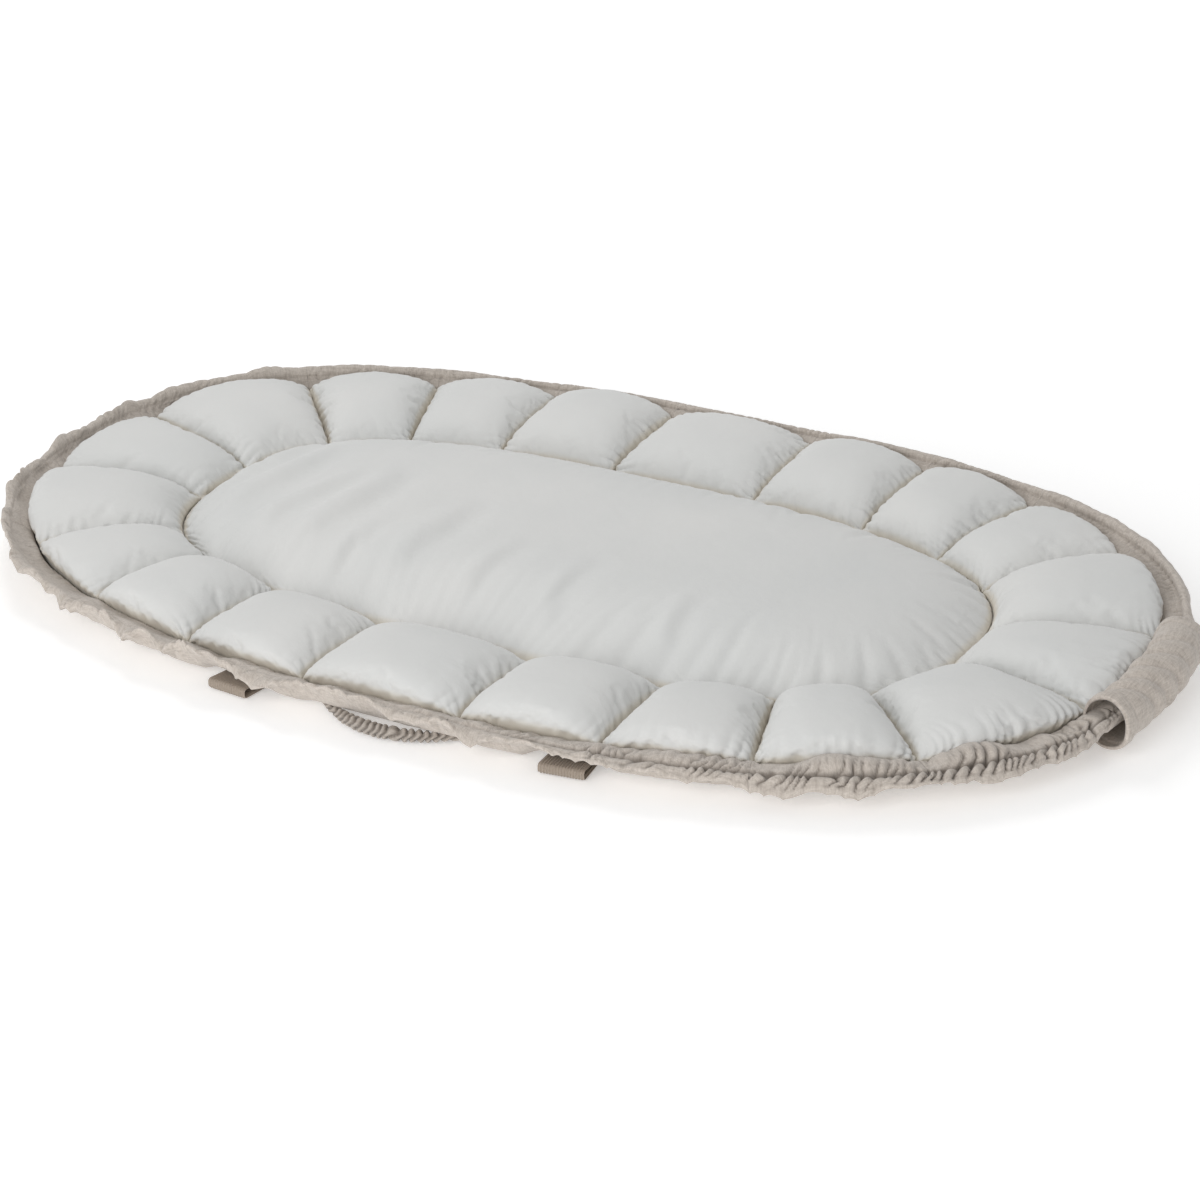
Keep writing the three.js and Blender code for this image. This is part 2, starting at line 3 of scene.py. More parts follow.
import bpy
import numpy as np
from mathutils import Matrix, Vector


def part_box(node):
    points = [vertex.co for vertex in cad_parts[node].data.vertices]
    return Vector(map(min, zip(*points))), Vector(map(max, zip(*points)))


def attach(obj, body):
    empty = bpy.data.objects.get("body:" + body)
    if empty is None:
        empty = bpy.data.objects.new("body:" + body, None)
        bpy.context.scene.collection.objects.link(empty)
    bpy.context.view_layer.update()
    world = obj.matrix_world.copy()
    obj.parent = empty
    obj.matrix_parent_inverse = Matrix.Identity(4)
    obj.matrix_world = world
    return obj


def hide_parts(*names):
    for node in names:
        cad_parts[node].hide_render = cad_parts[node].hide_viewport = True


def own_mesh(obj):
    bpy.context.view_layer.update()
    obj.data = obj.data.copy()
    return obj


# Infant lounger, opened flat as a play mat: its cloth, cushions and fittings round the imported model.
# Lengths are in metres, and +X points to the foot end.
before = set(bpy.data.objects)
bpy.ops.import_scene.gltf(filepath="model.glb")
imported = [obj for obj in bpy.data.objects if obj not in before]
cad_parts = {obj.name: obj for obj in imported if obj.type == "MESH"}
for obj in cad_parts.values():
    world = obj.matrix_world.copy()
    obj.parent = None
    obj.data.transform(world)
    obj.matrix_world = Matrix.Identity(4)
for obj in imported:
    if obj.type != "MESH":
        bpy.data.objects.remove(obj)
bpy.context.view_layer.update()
print("frame loaded:", len(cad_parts), "nodes")

# Camera, at the photograph's angle
shot = {
    "azimuth": 29.09,  # degrees, from looking along +Y
    "elevation": 24.51,
    "distance": 2.798,
    "lens": 98.97,
    "target": (0.0380, -0.0259, 0),
}


def addToScene(name, data):
    made = bpy.data.objects.new(name, data)
    bpy.context.scene.collection.objects.link(made)
    return made


def placeCamera():
    azimuth, elevation = math.radians(shot["azimuth"]), math.radians(shot["elevation"])
    flat = math.cos(elevation)
    back = Vector((math.sin(azimuth) * flat, -math.cos(azimuth) * flat, math.sin(elevation)))
    camera = addToScene("photoCamera", bpy.data.cameras.new("photoCamera"))
    camera.data.lens = shot["lens"]
    camera.location = Vector(shot["target"]) + back * shot["distance"]
    camera.rotation_euler = (-back).to_track_quat("-Z", "Y").to_euler()
    bpy.context.scene.camera = camera


placeCamera()
print("camera placed")


# Shader maths
class Value:
    # a node's output: an expression such as 1 - mask adds its own Math nodes
    def __init__(self, network, output):
        self.network = network
        self.output = output

    def calc(self, operation, first, second):
        return self.network.node("ShaderNodeMath", {"operation": operation}, {0: first, 1: second})

    def __add__(self, other):
        return self.calc("ADD", self, other)

    def __radd__(self, other):
        return self.calc("ADD", other, self)

    def __sub__(self, other):
        return self.calc("SUBTRACT", self, other)

    def __rsub__(self, other):
        return self.calc("SUBTRACT", other, self)

    def __mul__(self, other):
        return self.calc("MULTIPLY", self, other)

    def __rmul__(self, other):
        return self.calc("MULTIPLY", other, self)


class Network:
    # the nodes of a material or of the world
    def __init__(self, tree):
        self.tree = tree

    def node(self, kind, settings, sockets, output=0):
        made = self.tree.nodes.new(kind)
        for name, value in settings.items():
            if name == "stops":
                for stop, (place, colour) in zip(made.color_ramp.elements, value):
                    stop.position = place
                    stop.color = colour
            else:
                setattr(made, name, value)
        for name, value in sockets.items():
            self.feed(made.inputs[name], value)
        return Value(self, made.outputs[output])

    def feed(self, socket, value):
        if isinstance(value, Value):
            self.tree.links.new(value.output, socket)
        else:
            socket.default_value = value


class Finish(Network):
    # one material: fixed values go straight on its shader, and what varies is fed by nodes
    def __init__(self, name, fixed):
        self.material = bpy.data.materials.new(name)
        self.material.use_nodes = True
        super().__init__(self.material.node_tree)
        self.shader = self.tree.nodes["Principled BSDF"]
        for socket, value in fixed.items():
            self.wear(socket, value)

    def wear(self, socket, value):
        self.feed(self.shader.inputs[socket], value)

    def attribute(self, name, output):
        return self.node("ShaderNodeAttribute", {"attribute_name": name}, {}, output)

    def place(self):
        return self.node("ShaderNodeTexCoord", {}, {}, "Object")

    def scaled(self, vector, scale):
        return self.node("ShaderNodeVectorMath", {"operation": "MULTIPLY"}, {0: vector, 1: scale})

    def noise(self, vector, scale, detail=3, roughness=0.5):
        sockets = {"Vector": vector, "Scale": scale, "Detail": detail, "Roughness": roughness}
        return self.node("ShaderNodeTexNoise", {}, sockets)

    def ramp(self, value, low, high):
        stops = [(low, (0, 0, 0, 1)), (high, (1, 1, 1, 1))]
        return self.node("ShaderNodeValToRGB", {"stops": stops}, {0: value})

    def mix(self, share, first, second):
        return self.node("ShaderNodeMix", {"data_type": "RGBA"}, {0: share, 6: first, 7: second}, 2)

    def bump(self, height, distance, strength=1, under=None):
        sockets = {"Height": height, "Distance": distance, "Strength": strength}
        if under is not None:
            sockets["Normal"] = under
        return self.node("ShaderNodeBump", {}, sockets)


def rgb(red, green, blue):
    # a colour written as on a screen, 0 to 255
    return (*[((c / 255 + 0.055) / 1.055) ** 2.4 for c in (red, green, blue)], 1)


cottonLook = {
    "white": rgb(221, 221, 219),
    "cream": rgb(206, 195, 174),  # in the seams: their own cream tone together with painted shade in the seam valleys
    "creamShare": 0.65,
    "grey": rgb(209, 211, 210),
    "threads": 1900,  # to a metre
    "crumple": 46,
}


def cottonFinish():
    finish = Finish("whiteCotton", {"Roughness": 0.78, "Sheen Weight": 0.18, "Sheen Roughness": 0.45})
    place = finish.place()
    cloudy = finish.ramp(finish.noise(place, 7, 3), 0.35, 0.7)
    seam = finish.attribute("seam", "Fac")
    colour = finish.mix(cloudy * 0.5, cottonLook["white"], cottonLook["grey"])
    # cream along the seams: partly their own tone, partly painted shade in the valleys between cushions
    finish.wear("Base Color", finish.mix(seam * cottonLook["creamShare"], colour, cottonLook["cream"]))
    soft = finish.bump(finish.noise(place, cottonLook["crumple"], 4, 0.55), 0.0022, 0.5)
    threads = finish.noise(place, cottonLook["threads"], 2)
    finish.wear("Normal", finish.bump(threads, 0.00012, 0.35, soft))
    return finish.material


linenLook = {
    "light": rgb(205, 196, 187),
    "middle": rgb(183, 174, 164),
    "dark": rgb(150, 139, 129),
    # painted shade: the dark colour mixed into the linen where the fold mask lies
    "folds": rgb(96, 86, 77),
    "foldShadeShare": 0.7,
    "slubShort": 1500,  # thread size across and along, to a metre
    "slubLong": 230,
}


def linenFinish():
    finish = Finish("greigeLinen", {"Roughness": 0.92, "Sheen Weight": 0.2, "Sheen Roughness": 0.6})
    cloth = finish.attribute("cloth", "Vector")
    short, long = linenLook["slubShort"], linenLook["slubLong"]
    sizes = [(short, long, 1), (long, short, 1), (short / 3, long / 3, 1), (long / 3, short / 3, 1)]
    warp, weft, wideWarp, wideWeft = (finish.noise(finish.scaled(cloth, size), 1, 2) for size in sizes)
    threads = (warp + weft) * 0.5
    heather = (wideWarp + wideWeft) * 0.5
    colour = finish.mix(finish.ramp(threads, 0.4, 0.6), linenLook["middle"], linenLook["light"])
    colour = finish.mix(finish.ramp(heather, 0.46, 0.66) * 0.5, colour, linenLook["dark"])
    # the fold mask is painted shade: darker linen in the gathers' valleys and along the stitched crease, on a
    # standing wall's inner face and over the handles
    shade = finish.attribute("fold", "Fac")
    finish.wear("Base Color", finish.mix(shade * linenLook["foldShadeShare"], colour, linenLook["folds"]))
    finish.wear("Normal", finish.bump(threads, 0.0006, 0.6))
    return finish.material


bands = {
    "webbing": {
        "fixed": {"Roughness": 0.85, "Sheen Weight": 0.15},
        "threads": (2200, 700, 1),
        "detail": 2,
        "colours": (rgb(176, 163, 149), rgb(134, 122, 111)),
        "relief": 0.0004,
    },
    "braidedElastic": {
        "fixed": {"Roughness": 0.75},
        "threads": (900, 500, 1),
        "detail": 1,
        "colours": (rgb(226, 221, 212), rgb(188, 181, 170)),
        "relief": 0.0005,
    },
}


def bandFinish(name):
    look = bands[name]
    finish = Finish(name, look["fixed"])
    cloth = finish.attribute("cloth", "Vector")
    threads = finish.noise(finish.scaled(cloth, look["threads"]), 1, look["detail"])
    finish.wear("Base Color", finish.mix(threads, *look["colours"]))
    finish.wear("Normal", finish.bump(threads, look["relief"], 0.6))
    return finish.material


def plasticFinish():
    finish = Finish("lockPlastic", {"Specular IOR Level": 0.45})
    grain = finish.noise(finish.place(), 2600, 2)
    finish.wear("Base Color", finish.mix(grain, rgb(146, 137, 127), rgb(136, 127, 118)))
    finish.wear("Roughness", 0.36 + grain * 0.16)
    finish.wear("Normal", finish.bump(grain, 0.00005, 0.5))
    return finish.material


def steelFinish():
    finish = Finish("springSteel", {"Metallic": 1.0})
    drawn = finish.noise(finish.scaled(finish.place(), (900, 3000, 3000)), 1, 2)
    finish.wear("Base Color", finish.mix(drawn, rgb(196, 197, 200), rgb(168, 169, 173)))
    finish.wear("Roughness", 0.2 + drawn * 0.2)
    return finish.material


cotton = cottonFinish()
linen = linenFinish()
webbing = bandFinish("webbing")
braid = bandFinish("braidedElastic")
plastic = plasticFinish()
steel = steelFinish()
print("finishes made")


# Shapes in numbers
def lerp(first, last, share):
    return first + (last - first) * share


def smooth(share):
    share = np.clip(share, 0, 1)
    return share * share * (3 - 2 * share)


def ripple(distance, total, length, seed):
    # smooth noise from -1 to 1 along a closed line, with about one swell to each length
    cells = max(4, round(total / length))
    table = np.random.default_rng(seed).uniform(-1, 1, cells)
    place = (distance / total * cells) % cells
    before = np.floor(place).astype(int)
    share = smooth(place - before)
    return lerp(table[before % cells], table[(before + 1) % cells], share)


def clouds(x, y, size, seed):
    # smooth noise from -1 to 1 over a surface
    table = np.random.default_rng(seed).uniform(-1, 1, (128, 128))
    px, py = x / size + 64, y / size + 64
    ix, iy = np.floor(px).astype(int), np.floor(py).astype(int)
    sx, sy = smooth(px - ix), smooth(py - iy)
    low = lerp(table[ix % 128, iy % 128], table[(ix + 1) % 128, iy % 128], sx)
    high = lerp(table[ix % 128, (iy + 1) % 128], table[(ix + 1) % 128, (iy + 1) % 128], sx)
    return lerp(low, high, sy)


def pleats(run, spacing, seed):
    # rounded ridges with sharp valleys between them, from 0 to 1
    drift = 0.9 * clouds(run, np.full_like(run, 0.37 * seed), 2.4 * spacing, seed)
    return np.abs(np.sin(np.pi * (run / spacing + drift))) ** 0.6


def ringPleats(distance, total, spacing, seed):
    # the same round a closed line
    drift = 0.9 * ripple(distance, total, 2.4 * spacing, seed)
    return np.abs(np.sin(np.pi * (distance / total * round(total / spacing) + drift))) ** 0.6


def unit(vectors):
    return vectors / np.maximum(np.linalg.norm(vectors, axis=-1, keepdims=True), 1e-12)


def raised(flat, height):
    # a plan with its heights
    return np.concatenate([flat, height[..., None]], -1)


def arcs(grid, axis):
    # distance walked along a grid
    steps = np.linalg.norm(np.diff(grid, axis=axis), axis=-1)
    first = np.zeros_like(np.take(steps, [0], axis))
    return np.concatenate([first, np.cumsum(steps, axis)], axis)


def facing(grid):
    # the upward normals of a grid
    normal = unit(np.cross(np.gradient(grid, axis=0), np.gradient(grid, axis=1)))
    return normal * np.sign(normal[..., 2].sum())


def curveThrough(points, steps):
    # a smooth curve through points on the second axis, with so many steps to each span
    before, after = 2 * points[:, :1] - points[:, 1:2], 2 * points[:, -1:] - points[:, -2:-1]
    ends = np.concatenate([before, points, after], 1)
    a, b, c, d = ends[:, :-3], ends[:, 1:-2], ends[:, 2:-1], ends[:, 3:]
    parts = []
    for t in np.arange(steps) / steps:
        bend = (2 * b + (c - a) * t + (2 * a - 5 * b + 4 * c - d) * t**2 + (3 * b - a - 3 * c + d) * t**3) / 2
        parts.append(bend)
    spans = np.stack(parts, 2)
    return np.concatenate([spans.reshape(len(points), -1, points.shape[-1]), points[:, -1:]], 1)


def finer(grid):
    # twice as many steps both ways
    return curveThrough(curveThrough(grid, 2).swapaxes(0, 1), 2).swapaxes(0, 1)


def quadsOf(index, wrap=False):
    if wrap:
        index = np.concatenate([index, index[:, :1]], 1)
    corners = [index[:-1, :-1], index[:-1, 1:], index[1:, 1:], index[1:, :-1]]
    return np.stack([corner.ravel() for corner in corners], 1)


def closedQuads(rows, places):
    # faces of a run of closed sections, with both ends closed
    index = np.arange(rows * places).reshape(rows, places)
    quads = [quadsOf(index, wrap=True)]
    half = places // 2
    for row, order in ((index[0], -1), (index[-1], 1)):
        back = row[::-1]
        cap = np.stack([row[:half - 1], row[1:half], back[1:half], back[:half - 1]], 1)
        quads.append(cap[:, ::order])
    return np.concatenate(quads)


def clothPlaces(along, across):
    # where the points lie on the flat cloth
    along, across = np.broadcast_arrays(along, across)
    return np.stack([along, across, np.zeros(across.shape)], -1)


def tubeRound(middle, tangent, sideways, size, turn):
    # points round a line
    up = np.cross(tangent, sideways)
    points = middle[:, None] + sideways[:, None] * (size * np.cos(turn))[..., None]
    return points + up[:, None] * (size * np.sin(turn))[..., None]


def makePiece(name, points, quads, material, slot, cloth=None, **masks):
    # one closed piece, with its faces turned out
    points = points.reshape(-1, 3)
    a, b, c, d = (points[quads[:, k]] for k in range(4))
    if (a * (np.cross(b, c) + np.cross(c, d))).sum() < 0:
        quads = quads[:, ::-1]
    mesh = bpy.data.meshes.new(name)
    mesh.from_pydata(points.tolist(), [], quads.tolist())
    mesh.polygons.foreach_set("use_smooth", [True] * len(quads))
    if cloth is not None:
        places = mesh.attributes.new("cloth", "FLOAT_VECTOR", "POINT")
        places.data.foreach_set("vector", cloth.astype(np.float32).ravel())
    for mask, values in masks.items():
        shares = mesh.attributes.new(mask, "FLOAT", "POINT")
        shares.data.foreach_set("value", values.astype(np.float32).ravel())
    mesh.materials.append(material)
    piece = addToScene(name, mesh)
    return piece


# Plan of the mat
plan = {
    "padLength": 0.732,
    "padWidth": 0.384,
    "padSquareness": 2.67,
    "endChannel": 0.134,
    "sideChannel": 0.122,
    "ringSquareness": 2.4,
    "padSeamShares": [0.07, 0.341, 0.543, 0.738, 0.927],  # of a quarter turn from the long axis
    "ringSeamShares": [0.109, 0.418, 0.627, 0.796, 0.937],
    "linen": 0.0024,
    "foldHeight": 0.014,
    "foldRun": 0.022,
    "seamGap": 0.0003,
}
channelCount = 20
footChannel = 12


class Seam:
    # an oval seam in plan, walked clockwise seen from above by the distance along it
    def __init__(self, length, width, squareness, shares):
        self.size = np.array([length, width])
        self.squareness = squareness
        q = np.array(shares) * math.pi / 2
        self.first = math.pi + q[1]
        marks = [[self.first, math.pi + q[0]], math.pi - q, q[::-1], -q, q[:0:-1] - math.pi]
        self.turned = np.linspace(0, 2 * math.pi, 8001)
        self.walked = arcs(self.point(self.first - self.turned), 0)
        self.total = self.walked[-1]
        self.marks = np.interp(self.first - np.concatenate(marks), self.turned, self.walked)

    def point(self, angle):
        c, s = np.cos(angle), np.sin(angle)
        power = 2 / self.squareness
        shares = np.stack([np.sign(c) * np.abs(c) ** power, np.sign(s) * np.abs(s) ** power], -1)
        return shares * self.size / 2

    def normal(self, angle):
        shares = 2 * self.point(angle) / self.size
        return unit(np.sign(shares) * np.abs(shares) ** (self.squareness - 1) / self.size)

    def angle(self, distance):
        return self.first - np.interp(distance % self.total, self.walked, self.turned)

    def distance(self, angle):
        return np.interp((self.first - angle) % (2 * math.pi), self.turned, self.walked)

    def across(self, number, share, gap):
        # distances along the seam, from one side of a channel to the other
        low, high = self.marks[number - 1] + gap, self.marks[number] - gap
        return lerp(low, high, share)


padSeam = Seam(plan["padLength"], plan["padWidth"], plan["padSquareness"], plan["padSeamShares"])
ringSeam = Seam(
    plan["padLength"] + 2 * plan["endChannel"],
    plan["padWidth"] + 2 * plan["sideChannel"],
    plan["ringSquareness"],
    plan["ringSeamShares"],
)

# How the rim stands, by sixteenths of a turn from the foot end over the back
rim = {
    "casing": 0.011,  # radius of the space that its band takes
    "near": 0.0125,
    "far": 0.0242,
    "low": 0.0245,
    "high": 0.036,
    "wallRun": 0.048,
    "flopShares": [1, 0.8, 0.5, 0.2, 0, 0.1, 0.25, 0.3, 0.4, 0.7, 1.1, 0.8, 0.5, 1, 1.4, 1.3],
    "riseShares": [0.5, 0.8, 0.9, 0.8, 0.6, 0.7, 0.9, 1, 0.9, 0.6, 0.3, 0.1, 0, 0, 0, 0.1],
    "stationStep": 0.0012,
    "notchShares": (0.25, 0.75),  # the gap in the casing, across the foot channel
    "notchRamp": 0.03,
    "notchHem": 0.82,  # where the wall ends there, on the way out to the casing
}


def around(shares, angle):
    place = (angle / (2 * math.pi)) % 1 * len(shares)
    before = np.floor(place).astype(int)
    table = np.array(shares, float)
    blend = (1 - np.cos(math.pi * (place - before))) / 2
    return lerp(table[before % len(shares)], table[(before + 1) % len(shares)], blend)


def standing(angle):
    # 1 where the rim stands, 0 where it lies
    return np.clip(around(rim["riseShares"], angle), 0, 1)


def casingPlace(angle):
    reach = lerp(rim["near"], rim["far"], around(rim["flopShares"], angle))
    height = lerp(rim["low"], rim["high"], around(rim["riseShares"], angle))
    return reach, height


def insideOval(flat, size, power):
    # 1 on an oval seam, and less inside it
    return (np.abs(flat / size) ** power).sum(-1) ** (1 / power)


class Wall:
    # the two faces of the linen wall, by distance past the outer seam
    def __init__(self, angle):
        self.reach, self.height = casingPlace(angle)
        radius = rim["casing"]
        self.slope = np.arctan2(self.height, rim["wallRun"] + self.reach)
        outer = self.slope - math.pi / 2
        inner = outer - math.acos(1 - plan["linen"] / radius)
        self.outerX = self.reach + radius * np.cos(outer)
        self.outerZ = self.height + radius * np.sin(outer)
        self.innerX = self.reach + radius * np.cos(inner)
        self.innerZ = self.height + radius * np.sin(inner)

    def under(self, x):
        return self.outerZ * (x + rim["wallRun"]) / (self.outerX + rim["wallRun"])

    def over(self, x):
        return lerp(plan["linen"], self.innerZ, (x + rim["wallRun"]) / (self.innerX + rim["wallRun"]))


class Stations:
    # places side by side across a channel, each with its line from the pad seam out past the ring seam
    def __init__(self, number, shares, gap):
        self.shares = shares
        self.along = ringSeam.across(number, shares, gap)
        self.angle = ringSeam.angle(self.along)
        self.start = padSeam.point(padSeam.angle(padSeam.across(number, shares, gap)))
        self.end = ringSeam.point(self.angle)
        self.out = ringSeam.normal(self.angle)
        self.length = np.linalg.norm(self.end - self.start, axis=1)
        self.way = (self.end - self.start) / self.length[:, None]
        self.wall = Wall(self.angle)

    def spot(self, distance, height):
        # distance and height hold one row for each station
        past = np.maximum(distance - self.length[:, None], 0)[..., None]
        within = np.minimum(distance, self.length[:, None])[..., None]
        flat = self.start[:, None] + self.way[:, None] * within + self.out[:, None] * past
        return raised(flat, height)

    def linenTop(self, distance):
        foot = self.length[:, None] - rim["wallRun"]
        wall = Wall(self.angle[:, None]).over(distance - self.length[:, None])
        fold = lerp(plan["foldHeight"], plan["linen"], distance / plan["foldRun"])
        return np.where(distance <= plan["foldRun"], fold, np.where(distance <= foot, plan["linen"], wall))


# White channels of the ring
channelShape = {
    "crown": 0.0475,
    "crownVaries": 0.0025,
    "endLip": 0.010,  # the outer seam above the linen under it
    "step": 0.0033,
    "crowding": 0.09,
    "fill": 0.8,
    "restsAbove": 0.0006,
    "peak": 0.58,  # where a cushion is highest, from its inner end
    "bulge": 0.012,  # how far the outer end swells past its seam
    "bulgeStanding": 0.014,  # the same where the wall stands
    "seamRoom": 0.0002,
    "folded": math.radians(60),  # how far the nest closes
    "give": 0.4,  # share of the lost room that a cushion gives up
    "seamSteps": 6,  # how far the cream band of seam tone and painted shade reaches
}


def evenSteps(count):
    # steps that crowd a little towards both ends
    share = np.arange(count + 1) / count
    return share - channelShape["crowding"] * np.sin(2 * np.pi * share)


def channelLines(number, step):
    wide = ringSeam.marks[number] - ringSeam.marks[number - 1]
    columns, rows = (round(size / channelShape["step"]) * step for size in (wide, plan["sideChannel"]))
    return Stations(number, evenSteps(columns), plan["seamGap"]), evenSteps(rows)


def channelTop(number):
    stations, t = channelLines(number, 1)
    across = (1 - np.abs(2 * stations.shares - 1) ** 2.7)[:, None] ** 0.5
    peak = channelShape["peak"]
    rising = np.clip(1 - (1 - np.minimum(t / peak, 1)) ** 2.3, 0, 1) ** 0.6
    falling = (1 - np.maximum((t - peak) / (1 - peak), 0) ** 3.2) ** 0.5
    along = (rising * falling)[None]
    stands = standing(stations.angle)[:, None]
    late = np.clip((t - 0.6) / 0.4, 0, 1)
    past = (smooth(late) * (1 - late**10) ** 0.5)[None]
    swell = lerp(channelShape["bulge"], channelShape["bulgeStanding"], stands)
    distance = stations.length[:, None] * t + swell * across * past
    ends = stations.linenTop(stations.length[:, None]) + channelShape["endLip"]
    seamHeight = lerp(plan["foldHeight"] + plan["seamGap"], ends, t)
    crown = channelShape["crown"] + channelShape["crownVaries"] * math.sin(number * 2.4)
    height = lerp(seamHeight, crown, across * along)
    return stations.spot(distance, height)


def closeBelow(top, bottom):
    # joins an upper and a lower grid along their edge
    rows, columns = top.shape[:2]
    upper = np.arange(rows * columns).reshape(rows, columns)
    lower = upper.copy()
    inside = (rows - 2) * (columns - 2)
    lower[1:-1, 1:-1] = rows * columns + np.arange(inside).reshape(rows - 2, columns - 2)
    points = np.concatenate([top.reshape(-1, 3), bottom[1:-1, 1:-1].reshape(-1, 3)])
    return points, np.concatenate([quadsOf(upper), quadsOf(lower)[:, ::-1]])


def fromEdge(rows, columns):
    # how many steps each point of a grid lies inside its edge
    i = np.minimum(np.arange(rows), np.arange(rows)[::-1])
    j = np.minimum(np.arange(columns), np.arange(columns)[::-1])
    return np.minimum(i[:, None], j[None])


def withinChannel(stations, top):
    # keeps a cushion between its seams, outside the pad, above the linen and inside the wall
    room = channelShape["seamRoom"]
    flat = top[..., :2]
    for edge, inwards in ((0, 1), (-1, -1)):
        way = stations.way[edge]
        normal = np.array([way[1], -way[0]]) * inwards
        if (stations.end[0 if edge else -1] - stations.start[edge]) @ normal < 0:
            normal = -normal
        inside = (flat - stations.start[edge]) @ normal
        flat = flat + normal * np.maximum(room - inside, 0)[..., None]
    oval = insideOval(flat, padSeam.size / 2 + room, plan["padSquareness"])
    flat = flat / np.minimum(oval, 1)[..., None]
    distance = ((flat - stations.start[:, None]) * stations.way[:, None]).sum(-1)
    floor = stations.linenTop(distance) + channelShape["restsAbove"]
    height = np.maximum(top[..., 2], floor)
    settled = raised(flat, height)
    edge = fromEdge(*top.shape[:2]) == 0
    return np.where(edge[..., None], top, settled)


pucker = {
    # depth, reach inwards and spacing along the edge
    "side": (0.0030, 0.020, 0.0100),
    "inner": (0.0022, 0.015, 0.0115),
    "outer": (0.0024, 0.019, 0.0115),
    "pad": (0.0025, 0.019, 0.0130),
    "crease": (0.0008, 0.036, 0.0270),
    "footShares": {11: 1.4, 12: 2.0, 13: 2.2, 14: 1.5, 15: 1.4, 16: 1.3},  # deeper outer puckers there
}


def puckered(grid, edges, seed):
    # small folds square to each seam, where the cloth is drawn in
    across, along = arcs(grid, 0), arcs(grid, 1)
    inwards = [across, across[-1:] - across, along, along[:, -1:] - along]
    runs = [along, along, across, across]
    move = np.zeros(grid.shape[:2])
    creaseDepth, creaseReach, creaseSpacing = pucker["crease"]
    for number, (inward, run, (depth, reach, spacing)) in enumerate(zip(inwards, runs, edges)):
        strength = 0.75 + 0.75 * clouds(run, np.full_like(run, 0.1 * number), 0.03, seed + number)
        slanted = run + 0.25 * inward * clouds(run, inward, 0.025, seed + 7)
        fold = pleats(slanted, spacing, 10 * seed + number) - 0.7
        near = np.exp(-((inward / reach) ** 2)) * smooth(inward / (0.25 * reach))
        move += depth * strength * fold * near
        crease = pleats(slanted, creaseSpacing, 10 * seed + number + 5) - 0.7
        move += creaseDepth * crease * np.exp(-((inward / creaseReach) ** 2)) * smooth(inward / reach)
    return grid + facing(grid) * move[..., None]


def channelEdges(number):
    depth, reach, spacing = pucker["outer"]
    more = pucker["footShares"].get(number, 1)
    outer = (depth * more, reach * more**0.5, spacing)
    return [pucker["side"], pucker["side"], pucker["inner"], outer]


def makeCushion(name, top, below, seamSteps):
    # a cushion between its upper and its lower grid, with a cream band along its edge that is partly the
    # seam's tone and partly painted shade
    points, quads = closeBelow(top, below)
    seam = np.ones(len(points))
    near = 1 - smooth(fromEdge(*top.shape[:2]) / seamSteps)
    seam[:near.size] = near.ravel()
    return makePiece(name, points, quads, cotton, "white_cotton", seam=seam)


def makeChannel(number, top):
    stations, t = channelLines(number, 2)
    top = withinChannel(stations, puckered(top, channelEdges(number), number))
    distance = stations.length[:, None] * t
    below = stations.spot(distance, stations.linenTop(distance) + channelShape["restsAbove"])
    piece = makeCushion(f"channel_cushion_{number:02d}", top, below, channelShape["seamSteps"])
    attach(piece, f"side_{number:02d}")
    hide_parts(f"channel_{number:02d}")
    # the round ends of the nest leave a folded cushion less room sideways
    start, end, way = stations.start, stations.end, stations.way
    upright = start + way * stations.length[:, None] * math.cos(channelShape["folded"])
    room = np.linalg.norm(upright[-1] - upright[0]) / np.linalg.norm(end[-1] - end[0])
    sideways = unit(end[-1] - end[0])
    middle = lerp(start, end, 0.5)[len(start) // 2]
    keep = lerp(1, min(float(room), 1), channelShape["give"])
    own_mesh(piece)


# Centre pad
padShape = {
    "crown": 0.0455,
    "plateau": 4.2,
    "shoulder": 0.55,
    "step": 0.0045,
    "fill": 0.7,
    "inset": 0.0003,
    "restsAbove": 0.0004,
    "seamSteps": 8,
    "seed": 40,
}


def padGrid(step):
    # a square grid bent to the oval of the pad
    columns, rows = (round(plan[size] / padShape["step"]) * step for size in ("padLength", "padWidth"))
    x, y = np.meshgrid(2 * evenSteps(columns) - 1, 2 * evenSteps(rows) - 1, indexing="ij")
    roundX, roundY = x * np.sqrt(1 - y**2 / 2), y * np.sqrt(1 - x**2 / 2)
    share = np.hypot(roundX, roundY)
    safe = np.maximum(share, 1e-9)
    n = plan["padSquareness"]
    stretch = np.maximum(np.abs(roundX / safe) ** n + np.abs(roundY / safe) ** n, 1e-9) ** (-1 / n)
    flat = np.stack([roundX * stretch, roundY * stretch], -1)
    return flat * (padSeam.size / 2 - padShape["inset"]), share


def padTop():
    flat, share = padGrid(1)
    edge = plan["foldHeight"] + plan["seamGap"]
    full = np.clip(1 - share ** padShape["plateau"], 0, 1) ** padShape["shoulder"]
    return raised(flat, lerp(edge, padShape["crown"], full))


# soft folds of the pad's head half: where each starts, its direction in degrees, length, depth and width
padFolds = [
    (-0.330, -0.060, 82, 0.16, 0.0042, 0.011),
    (-0.290, -0.120, 86, 0.21, 0.0048, 0.014),
    (-0.245, -0.140, 79, 0.17, 0.0040, 0.010),
    (-0.190, -0.155, 88, 0.21, 0.0044, 0.014),
    (-0.150, -0.165, 84, 0.11, 0.0028, 0.008),
    (-0.090, -0.160, 90, 0.17, 0.0036, 0.012),
    (-0.020, -0.165, 86, 0.12, 0.0028, 0.009),
    (0.060, -0.165, 92, 0.11, 0.0026, 0.009),
    (0.170, -0.165, 96, 0.10, 0.0022, 0.009),
]


